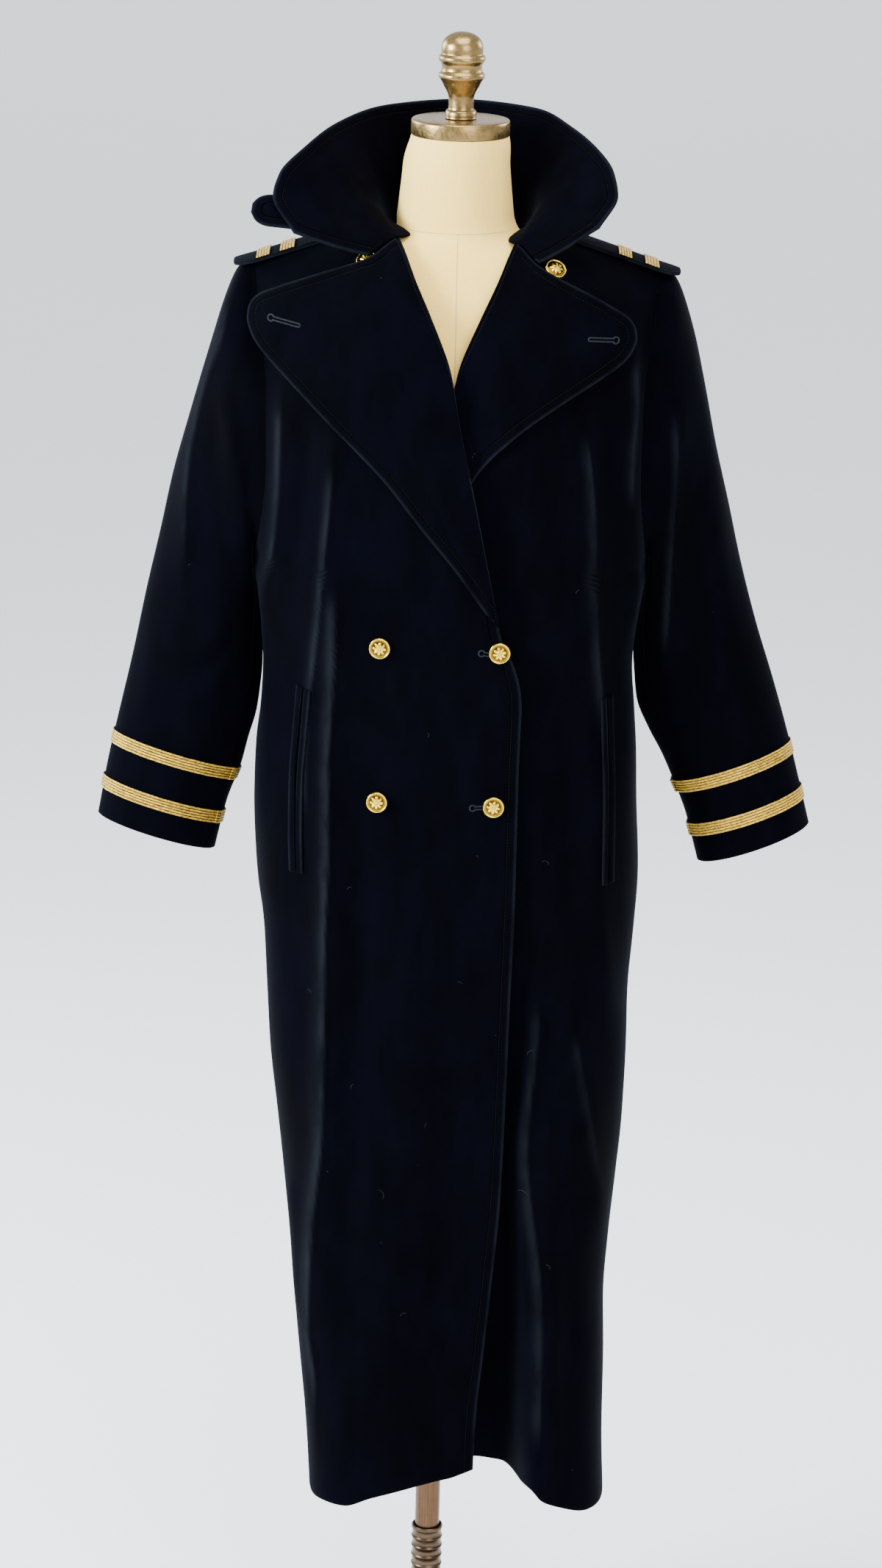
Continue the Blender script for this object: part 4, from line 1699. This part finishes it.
# ------------------------------------------------------------ shoulder boards
@dataclass
class ShoulderBoard:
    """A stiff board on the shoulder with a rounded free end and two bands of braid."""

    side: Side
    finishes: Finishes
    bands: tuple[tuple[float, float], ...]
    inner: float = 0.098
    outer: float = 0.2275
    half: float = 0.026
    thick: float = 0.0040

    def place(self, x: float, y: float, push: float) -> Vector:
        """Point over the shoulder ridge, moved up."""
        reach = min(x, TIP_X - 0.004)
        drop = 1 - (1 - (abs(y) / 0.125) ** SHOULDER_ROUND) ** (1 / SHOULDER_ROUND)
        ridge = lerp(shoulder_z(reach), CHEST_Z, drop) - (x - reach) * 0.30
        return Vector((self.side.value * x, y, ridge + push))

    def build(self) -> None:
        """Build the board and its braid."""
        side, word = self.side.value, self.side.word

        def board(s: float, t: float) -> Vector:
            """Point of the board's top."""
            x = lerp(self.inner, self.outer, s if side > 0 else 1 - s)
            end = (x - (self.outer - self.half)) / (self.half * 1.04)
            half = self.half * (1 - max(0.0, end) ** 2.6) ** (1 / 2.6)
            return self.place(x, lerp(half, -half, t), self.thick + 0.0012)
        cols = even(0, 0.78, 12) + [0.83, 0.87, 0.905, 0.935, 0.958, 0.975, 0.988, 1.0]
        if side < 0:
            cols = [1 - c for c in reversed(cols)]
        grid = ClothGrid.read(board, cols, even(0, 1, 10))
        free = "last_col" if side > 0 else "first_col"
        piece = cloth_object(f"epaulette_{word}", grid, self.thick, self.finishes.stitched,
                             (free, "first_row", "last_row"), 0.40)
        wear(piece, "black_velvet", f"epaulette_{word}")
        for number, (start, stop) in enumerate(self.bands, 1):
            def band(s: float, t: float, start: float = start, stop: float = stop) -> Vector:
                """Point of one band of braid."""
                x = lerp(start, stop, s if side > 0 else 1 - s)
                return self.place(x, lerp(self.half, -self.half, t), self.thick + BRAID + 0.0016)
            strip = ClothGrid.read(band, even(0, 1, 10), even(0, 1, 12))
            across_band = np.linspace(0, 5, strip.points.shape[1])[None]
            rib = np.abs(np.sin(math.pi * across_band)) ** 0.7 * np.ones(strip.points.shape[:2])
            strip.lift((rib - 0.6) * 0.0005)
            strip.points, strip.rib = np.swapaxes(strip.points, 0, 1)[:, ::-1], rib.T[:, ::-1]
            node = f"epaulette_braid_{word}_{number}"
            cloth = cloth_object(node, strip, BRAID, self.finishes.braid)
            wear(cloth, "gold_braid", node)


# ------------------------------------------------------------ pockets
@dataclass
class Pocket:
    """An upright pocket between two narrow welts, topstitched to the front."""

    side: Side
    line: Table
    squeeze: float
    grid: ClothGrid
    finishes: Finishes
    wide: float = 0.0078
    slit: float = 0.0012
    gap: float = 0.0004

    def build(self) -> list[bpy.types.Object]:
        """Build both welts.

        Returns:
            The welts.
        """
        made: list[bpy.types.Object] = []
        top, foot = self.line.keys[-1], self.line.keys[0]
        for which, start in (("outer", -1), ("inner", 1)):
            low, high = sorted((start * self.slit / 2 * self.squeeze,
                                start * (self.slit / 2 + self.wide) * self.squeeze))

            def welt(s: float, t: float, low: float = low, high: float = high) -> Vector:
                """Point of a welt, a padded fold of cloth."""
                z = lerp(top, foot, t)
                spot, normal = self.grid.at(self.line("x", z) + lerp(low, high, s), z)
                return spot + normal * (WELT + self.gap + 0.0006 * math.sin(math.pi * s))
            grid = ClothGrid.read(welt, even(0, 1, 4), even(0, 1, 44), finer=1)
            grid = ClothGrid(doubled(grid.points, 1))
            node = f"welt_{self.side.word}_{which}"
            piece = cloth_object(node, grid, WELT, self.finishes.stitched,
                                 ("first_col" if start < 0 else "last_col",), 0.5)
            made.append(wear(piece, "black_velvet", node))
        return made


# ------------------------------------------------------------ buttons
@dataclass
class Button:
    """A domed gilt button: a roped rim round a raised eight-petal rosette."""

    name: str
    spot: tuple[float, float]
    gap: float
    grid: ClothGrid
    finish: bpy.types.Material
    radius: float = 0.0110
    rope: float = 0.0100
    petals: int = 8
    turn: float = 0.0
    rings: int = 30
    sides: int = 72

    def height(self, r: float, a: float) -> tuple[float, float]:
        """The button's face.

        Args:
            r: Distance from its centre.
            a: Direction.

        Returns:
            Its height, and how proud of the ground it is from 0 to 1.
        """
        ground = 0.0034 + 0.0014 * math.cos(min(1.0, r / 0.0092) * math.pi / 2)
        rope = math.exp(-((r - self.rope) / 0.0009) ** 2) * (0.82 + 0.18 * math.cos(26 * a + 900 * r))
        turn = a + self.turn
        petal = abs(math.cos(self.petals * turn / 2)) ** 1.2
        reach = 0.0036 + 0.0036 * petal
        leaf = ease((reach - r) / 0.0009) * ease((r - 0.0015) / 0.0006) * (0.55 + 0.45 * petal)
        vein = math.exp(-(abs(math.sin(self.petals * turn / 2)) * r / 0.00035) ** 2) * 0.25
        boss = math.exp(-(r / 0.0014) ** 4)
        beads = math.exp(-((r - 0.0083) / 0.0005) ** 2) * (0.5 + 0.5 * math.cos(36 * a))
        proud = min(1.0, max(rope, leaf * (1 - vein), boss, 0.7 * beads))
        rise = 0.0011 * rope + 0.00075 * leaf * (1 - vein) + 0.0008 * boss + 0.00035 * beads
        return ground + rise, proud

    def build(self) -> bpy.types.Object:
        """Build the button square to the cloth under it.

        Returns:
            The button.
        """
        verts, proud, faces = [(0.0, 0.0, self.height(0, 0)[0])], [1.0], []
        face_r = [self.rope * 1.05 * k / self.rings for k in range(1, self.rings + 1)]
        rim = [(self.radius * 0.99, 0.0034), (self.radius, 0.0026), (self.radius, 0.0016),
               (self.radius * 0.975, 0.0007), (0.0100, 0.0001), (0.0092, 0.0)]
        for r in face_r:
            for k in range(self.sides):
                a = 2 * math.pi * k / self.sides
                h, p = self.height(r, a)
                verts.append((r * math.cos(a), r * math.sin(a), h))
                proud.append(p)
        for r, h in rim:
            for k in range(self.sides):
                a = 2 * math.pi * k / self.sides
                verts.append((r * math.cos(a), r * math.sin(a), h))
                proud.append(0.8)
        verts.append((0.0, 0.0, 0.0))
        proud.append(0.0)
        n, count = self.sides, len(face_r) + len(rim)
        for k in range(n):
            faces.append((0, 1 + k, 1 + (k + 1) % n))
            foot = 1 + (count - 1) * n
            faces.append((foot + (k + 1) % n, foot + k, len(verts) - 1))
        for i in range(count - 1):
            for k in range(n):
                a, b = 1 + i * n + k, 1 + i * n + (k + 1) % n
                faces.append((a, a + n, b + n, b))
        piece = mesh_object(f"{self.name}_relief", np.array(verts), faces, self.finish,
                            marks={"relief": np.array(proud)})
        spot, normal = self.grid.at(*self.spot)
        turn = Vector((0, 0, 1)).rotation_difference(normal).to_matrix().to_4x4()
        piece.matrix_world = Matrix.Translation(spot + normal * self.gap) @ turn
        return wear(piece, "gilt_metal", self.name)


# ------------------------------------------------------------ dress form and stand
FORM = Table("z half front back", [
    (0.870, 0.146, 0.098, 0.098), (0.900, 0.154, 0.106, 0.104), (0.960, 0.158, 0.112, 0.106),
    (1.030, 0.150, 0.108, 0.102), (1.100, 0.132, 0.100, 0.094), (1.160, 0.122, 0.096, 0.088),
    (1.230, 0.130, 0.105, 0.090), (1.310, 0.150, 0.124, 0.096), (1.390, 0.162, 0.132, 0.102),
    (1.460, 0.174, 0.125, 0.105), (1.530, 0.186, 0.110, 0.101), (1.578, 0.189, 0.098, 0.086),
    (1.600, 0.181, 0.088, 0.070), (1.6155, 0.163, 0.080, 0.060), (1.6250, 0.136, 0.074, 0.055),
    (1.6325, 0.106, 0.069, 0.054), (1.6385, 0.082, 0.0655, 0.055), (1.6440, 0.0630, 0.0615, 0.0560),
    (1.6520, 0.0604, 0.0590, 0.0560), (1.662, 0.0590, 0.0575, 0.0560), (1.680, 0.0570, 0.0560, 0.0550), (1.700, 0.0550, 0.0545, 0.0535),
    (1.722, 0.0530, 0.0525, 0.0515), (1.7397, 0.0495, 0.0495, 0.0495)])


@dataclass
class DressForm:
    """The limbless torso under canvas, with its neck and centre seams."""

    finishes: Finishes
    sides: int = 128
    neck_seam: float = 1.6475
    neck_lean: float = -0.0030

    def build(self) -> None:
        """Build the torso."""
        levels = sorted({round(z, 5) for z in [*np.arange(0.870, 1.600, 0.012), *FORM.keys,
                                               *np.arange(1.600, 1.7397, 0.0022)]})
        verts, faces, uv, edge = [], [], [], []
        for z in levels:
            half, front, back = (FORM(c, z) for c in ("half", "front", "back"))
            for k in range(self.sides):
                a = 2 * math.pi * k / self.sides
                depth = back if math.sin(a) > 0 else front
                x, y = half * math.cos(a), depth * math.sin(a)
                x += self.neck_lean * ease((1.7397 - z) / 0.030) * ease((z - 1.640) / 0.020)
                seam = self.neck_seam + 0.001 * math.cos(a + math.pi / 2)
                gap = min(abs(z - seam), abs(x) if z < seam + 0.001 else 1.0)
                verts.append((x, y, z))
                edge.append(gap)
                uv.append((a * 0.12, z))
        n = self.sides
        for i in range(len(levels) - 1):
            for k in range(n):
                a, b = i * n + k, i * n + (k + 1) % n
                faces.append((a, b, b + n, a + n))
        faces.append(tuple(reversed(range(n))))
        faces.append(tuple(range((len(levels) - 1) * n, len(levels) * n)))
        piece = mesh_object("form_torso_cover", np.array(verts), faces, self.finishes.linen,
                            np.array(uv), {"edge": np.array(edge)})
        piece.data.set_sharp_from_angle(angle=math.radians(50))
        wear(piece, "cream_linen", "form_torso")


@dataclass
class Turned:
    """One turned piece of the stand."""

    name: str
    profile: list[tuple[float, float]]
    slot: str
    finish: bpy.types.Material
    body: str
    hollow: bool = False
    finer: int = 0
    sides: int = 96

    def build(self) -> bpy.types.Object:
        """Spin the profile, which runs up the outside and down the bore.

        Returns:
            The piece.
        """
        line = np.array(self.profile, float)
        for _ in range(self.finer):
            line = doubled(line, 0)
        verts, rings, faces = [], [], []
        for radius, z in line:
            if radius < 1e-5:
                rings.append([len(verts)])
                verts.append((0.0, 0.0, z))
                continue
            rings.append(list(range(len(verts), len(verts) + self.sides)))
            for k in range(self.sides):
                a = 2 * math.pi * k / self.sides
                verts.append((radius * math.cos(a), radius * math.sin(a), z))
        pairs = list(zip(rings, rings[1:])) + ([(rings[-1], rings[0])] if self.hollow else [])
        for low, high in pairs:
            for k in range(self.sides):
                j = (k + 1) % self.sides
                if len(low) == 1:
                    faces.append((low[0], high[j], high[k]))
                elif len(high) == 1:
                    faces.append((low[k], low[j], high[0]))
                else:
                    faces.append((low[k], low[j], high[j], high[k]))
        piece = mesh_object(f"{self.name}_turned", np.array(verts), faces, self.finish)
        piece.data.set_sharp_from_angle(angle=math.radians(38))
        return wear(piece, self.slot, self.name, body=self.body)


@dataclass
class Stand:
    """Neck cap with its inlay, turned finial, pole, ringed socket and round base."""

    finishes: Finishes
    cap_radius: float = 0.050
    cap_foot: float = 1.7400
    cap_top: float = 1.7560
    pole_radius: float = 0.0135
    socket_radius: float = 0.0172
    socket_bore: float = 0.01358
    socket_top: float = 0.200
    ring_pitch: float = 0.011
    rings: int = 8

    def build(self) -> None:
        """Build every piece of the stand."""
        r, foot, top = self.cap_radius, self.cap_foot, self.cap_top
        f = self.finishes
        Turned("neck_cap", [(0, foot), (r - 0.001, foot), (r - 0.0002, foot + 0.0006), (r, foot + 0.0014),
                            (r, top - 0.0030), (r - 0.0003, top - 0.0014), (r - 0.0012, top - 0.0003),
                            (r - 0.0024, top), (r * 0.6, top), (0, top)],
               "antique_brass", f.brass, "figure").build()
        z = top + 0.0003
        Turned("finial", [(r, z + h) for r, h in (
            (0, 0), (0.0144, 0), (0.0154, 0.0016), (0.0158, 0.0040), (0.0154, 0.0068), (0.0144, 0.0084),
            (0.0131, 0.0092), (0.0128, 0.0120), (0.0128, 0.0200), (0.0133, 0.0232), (0.0146, 0.0268),
            (0.0168, 0.0306), (0.0191, 0.0345), (0.0208, 0.0380), (0.0222, 0.0397), (0.0231, 0.0412),
            (0.0234, 0.0430), (0.0231, 0.0448), (0.0219, 0.0464), (0.0208, 0.0478), (0.0203, 0.0500),
            (0.0204, 0.0528), (0.0212, 0.0552), (0.0226, 0.0570), (0.0235, 0.0588), (0.0237, 0.0604),
            (0.0234, 0.0620), (0.0224, 0.0634), (0.0213, 0.0643), (0.0209, 0.0654), (0.0212, 0.0690),
            (0.0211, 0.0722), (0.0204, 0.0755), (0.0186, 0.0788), (0.0158, 0.0818), (0.0118, 0.0843),
            (0.0070, 0.0861), (0, 0.0870))],
               "antique_brass", f.brass, "figure", finer=1).build()
        self.build_inlay()
        Turned("pole", [(0, 0.095), (self.pole_radius - 0.001, 0.095), (self.pole_radius, 0.096),
                        (self.pole_radius, 0.8690), (self.pole_radius - 0.0008, 0.8697), (0, 0.8697)],
               "brushed_bronze", f.pole, "figure").build()
        self.build_socket()
        Turned("base", [(0, 0), (0.172, 0), (0.1742, 0.0008), (0.175, 0.0025), (0.175, 0.0094),
                        (0.1742, 0.0112), (0.1728, 0.0119), (0.120, 0.0132), (0.065, 0.0150),
                        (0.048, 0.0172), (0.0445, 0.0182), (0.036, 0.0222), (0.0272, 0.0272),
                        (0.0252, 0.0294), (0.0240, 0.0300), (0, 0.0300)],
               "base_iron", f.iron, "stand", sides=160).build()

    def build_inlay(self) -> None:
        """Plain lozenges let into the cap's rim."""
        middle, verts, faces = (self.cap_foot + self.cap_top) / 2 - 0.0006, [], []
        for k in range(16):
            a0 = 2 * math.pi * (k + 0.5) / 16
            begin = len(verts)
            for da, dz, out in ((0, 0, 0.00008), (0.075, 0, 0.0), (0, 0.0046, 0.0), (-0.075, 0, 0.0),
                                (0, -0.0046, 0.0)):
                a = a0 + da
                r = self.cap_radius + 0.00005 + out
                verts.append((r * math.cos(a), r * math.sin(a), middle + dz))
            faces += [(begin, begin + 1 + i, begin + 1 + (i + 1) % 4) for i in range(4)]
        piece = mesh_object("neck_cap_inlay", np.array(verts), faces, self.finishes.inlay)
        piece.data.shade_flat()
        wall = piece.modifiers.new("let_in", "SOLIDIFY")
        wall.thickness, wall.offset = 0.0006, -1
        wear(piece, "antique_brass")

    def build_socket(self) -> None:
        """The socket with raised rings below its open, bevelled lip."""
        low_r, high_r, foot = self.socket_radius - 0.0010, self.socket_radius, 0.0303
        line = [(low_r, foot)]
        for k in range(self.rings):
            low = self.socket_top - 0.004 - (self.rings - k) * self.ring_pitch
            line += [(low_r, low - 0.0004), (low_r + 0.0004, low + 0.0001), (high_r, low + 0.0009),
                     (high_r, low + 0.0015), (low_r + 0.0004, low + 0.0023), (low_r, low + 0.0028),
                     (low_r - 0.0004, low + 0.0060)]
        top = self.socket_top
        line += [(low_r, top - 0.0052), (high_r - 0.0002, top - 0.0040), (high_r, top - 0.0030),
                 (high_r - 0.0003, top - 0.0008), (high_r - 0.0010, top),
                 (self.socket_bore + 0.0018, top), (self.socket_bore + 0.0010, top - 0.0008),
                 (self.socket_bore, top - 0.006), (self.socket_bore, foot)]
        Turned("pole_socket", line, "brushed_bronze", self.finishes.socket, "stand", True).build()


# ------------------------------------------------------------ lint
@dataclass
class Lint:
    """Tiny pale hairs caught in the pile."""

    grid: ClothGrid
    left: ClothGrid
    finish: bpy.types.Material
    spots: tuple[tuple[float, float, float, float], ...] = (
        (-0.060, 0.640, 0.012, 0.4), (-0.095, 0.980, 0.006, 2.0), (0.020, 0.880, 0.005, 1.2),
        (-0.020, 1.150, 0.005, 0.1), (-0.088, 0.760, 0.006, 2.6), (-0.030, 0.500, 0.008, 1.9),
        (0.034, 1.020, 0.004, 0.8), (-0.136, 0.860, 0.005, 1.5), (-0.010, 0.720, 0.005, 2.9))
    left_spots: tuple[tuple[float, float, float, float], ...] = (
        (0.104, 1.010, 0.009, 1.1), (0.098, 0.800, 0.010, 2.2), (0.120, 0.560, 0.007, 0.6),
        (0.092, 0.640, 0.012, 1.4), (0.130, 1.300, 0.005, 2.4))

    def build(self) -> None:
        """Lay each hair in a small arc on the cloth."""
        paths = []
        for grid, spots in ((self.grid, self.spots), (self.left, self.left_spots)):
            for x, z, size, turn in spots:
                path = []
                for k in range(9):
                    a = turn + 2.4 * (k / 8 - 0.5)
                    spot, normal = grid.at(x + size * 0.5 * math.cos(a), z + size * 0.5 * math.sin(a))
                    path.append(tuple(spot + normal * (0.0003 + 0.0003 * math.sin(math.pi * k / 8))))
                paths.append(np.array(path))
        wear(tubes("lint", paths, 0.00008, self.finish, 4), "black_velvet")


# ------------------------------------------------------------ studio
@dataclass
class Lamp:
    """A soft square lamp aimed at the coat."""

    name: str
    at: tuple[float, float, float]
    size: float
    watts: float
    colour: tuple[float, float, float]
    aim: tuple[float, float, float] = (0.0, 0.0, 1.1)

    def build(self) -> None:
        """Hang the lamp."""
        light = bpy.data.lights.new(self.name, "AREA")
        light.shape, light.size, light.energy, light.color = "SQUARE", self.size, self.watts, self.colour
        lamp = bpy.data.objects.new(self.name, light)
        lamp.location = self.at
        lamp.rotation_euler = (Vector(self.aim) - Vector(self.at)).to_track_quat("-Z", "Y").to_euler()
        bpy.context.scene.collection.objects.link(lamp)


@dataclass
class Studio:
    """Pale sweep, soft lamps and the camera where the photographer stood."""

    world: tuple[float, float, float] = (0.90, 0.94, 1.0)
    world_strength: float = 1.0
    lamps: tuple[Lamp, ...] = (
        Lamp("key", (-3.0, -1.3, 2.3), 1.3, 330, (0.86, 0.95, 1.0)),
        Lamp("fill", (1.4, -3.6, 2.6), 2.4, 120, (1.0, 0.97, 0.93)),
        Lamp("top", (0.1, -0.6, 3.6), 1.6, 70, (1.0, 1.0, 1.0)),
        Lamp("left_rim", (-2.2, 1.4, 2.2), 1.2, 70, (0.85, 0.93, 1.0)),
        Lamp("right_rim", (2.3, 1.4, 2.4), 1.2, 45, (0.95, 0.97, 1.0)))
    camera_at: tuple[float, float, float] = (-0.004, -4.44, 2.392)
    pitch: float = 16.75
    roll: float = 1.36
    lens: float = 5990 / 2133 * 36

    def build(self) -> None:
        """Build the sweep, the world, the lamps and the camera."""
        reach, curve = 14.0, 3.0
        profile = [(-reach - curve, 0.0), (reach, 0.0)]
        profile += [(reach + curve * math.sin(a), curve - curve * math.cos(a))
                    for a in even(0, math.pi / 2, 16)[1:]] + [(reach + curve, 6.0)]
        verts = [(x, y, z) for x in (-reach - curve, reach + curve) for y, z in profile]
        n = len(profile)
        faces = [(i, n + i, n + i + 1, i + 1) for i in range(n - 1)]
        sweep = mesh_object("studio_sweep", np.array(verts), faces, StudioPaper().make())
        world = bpy.data.worlds.new("studio")
        world.use_nodes = True
        sky = world.node_tree.nodes["Background"]
        sky.inputs["Color"].default_value = (*self.world, 1.0)
        sky.inputs["Strength"].default_value = self.world_strength
        bpy.context.scene.world = world
        for lamp in self.lamps:
            lamp.build()
        lens = bpy.data.cameras.new("camera")
        lens.sensor_fit, lens.sensor_height, lens.lens = "VERTICAL", 36.0, self.lens
        camera = bpy.data.objects.new("camera", lens)
        camera.matrix_world = (Matrix.Translation(self.camera_at)
                               @ Matrix.Rotation(math.radians(90 - self.pitch), 4, "X")
                               @ Matrix.Rotation(math.radians(self.roll), 4, "Z"))
        bpy.context.scene.collection.objects.link(camera)
        bpy.context.scene.camera = camera


POCKET_RIGHT = Table("z x", [(1.190, -0.1455), (1.140, -0.1490), (1.090, -0.1520), (1.040, -0.1525),
                             (0.990, -0.1510)])
POCKET_LEFT = Table("z x", [(1.185, 0.1620), (1.134, 0.1650), (1.080, 0.1680), (0.985, 0.1700)])


def main() -> None:
    """Build every sub-assembly in order."""
    logging.basicConfig(level=logging.INFO, format="%(name)s %(message)s")
    Studio().build()
    finishes = Finishes()
    DressForm(finishes).build()
    Stand(finishes).build()
    coat = CoatBody(finishes)
    coat.build()
    Sleeve(Side.RIGHT, SLEEVE_RIGHT, finishes).build()
    Sleeve(Side.LEFT, SLEEVE_LEFT, finishes, lap_at=172.0, pitch=0.075).build()
    lapels = {
        Side.RIGHT: Lapel(Side.RIGHT, finishes, (-0.185, 1.566), (-0.157, 1.5613)),
        Side.LEFT: Lapel(Side.LEFT, finishes, (0.160, 1.5540), (0.134, 1.5558))}
    for lapel in lapels.values():
        lapel.build()
    Collar(finishes, lapels).build()
    ShoulderBoard(Side.RIGHT, finishes, ((0.165, 0.180), (0.190, 0.204))).build()
    ShoulderBoard(Side.LEFT, finishes, ((0.163, 0.177), (0.190, 0.205))).build()
    right, left = coat.grids["front_right"], coat.grids["front_left"]
    sewn = {"front_right": Pocket(Side.RIGHT, POCKET_RIGHT, 0.90, right, finishes).build(),
            "front_left": Pocket(Side.LEFT, POCKET_LEFT, 0.78, left, finishes).build()}
    for name, x, z, gap, panel, turn in (
            ("upper_right", -0.0690, 1.2410, 0.0004, "front_right", 0.2),
            ("upper_left", 0.0520, 1.2390, 0.0004, "front_right", 0.5),
            ("lower_right", -0.0690, 1.0770, 0.0004, "front_right", 0.9),
            ("lower_left", 0.0500, 1.0750, 0.0004, "front_right", 0.1),
            ("top_right", -0.0900, 1.6210, -0.0003, "front_right", 0.4),
            ("top_left", 0.0975, 1.6165, 0.0003, "front_left", 0.7)):
        sewn[panel].append(Button(f"button_{name}", (x, z), gap, coat.grids[panel], finishes.gilt,
                                  turn=turn).build())
    for name, eyelet, foot in (("upper", (0.034, 1.2377), (0.0475, 1.2352)),
                               ("lower", (0.029, 1.0730), (0.0430, 1.0735))):
        sewn["front_right"].append(Keyhole(f"keyhole_{name}", eyelet, foot, right,
                                           finishes.slate).build())
    edge = inset_line(right, ("last_col",), "rows")
    sewn["front_right"].append(topstitch("topstitch_front", right, finishes.thread,
                                         [edge[edge[:, 2] < BREAK_Z - 0.02]]))
    Lint(right, left, finishes.lint).build()
    coat.declare(sewn)


if __name__ == "__main__":
    main()
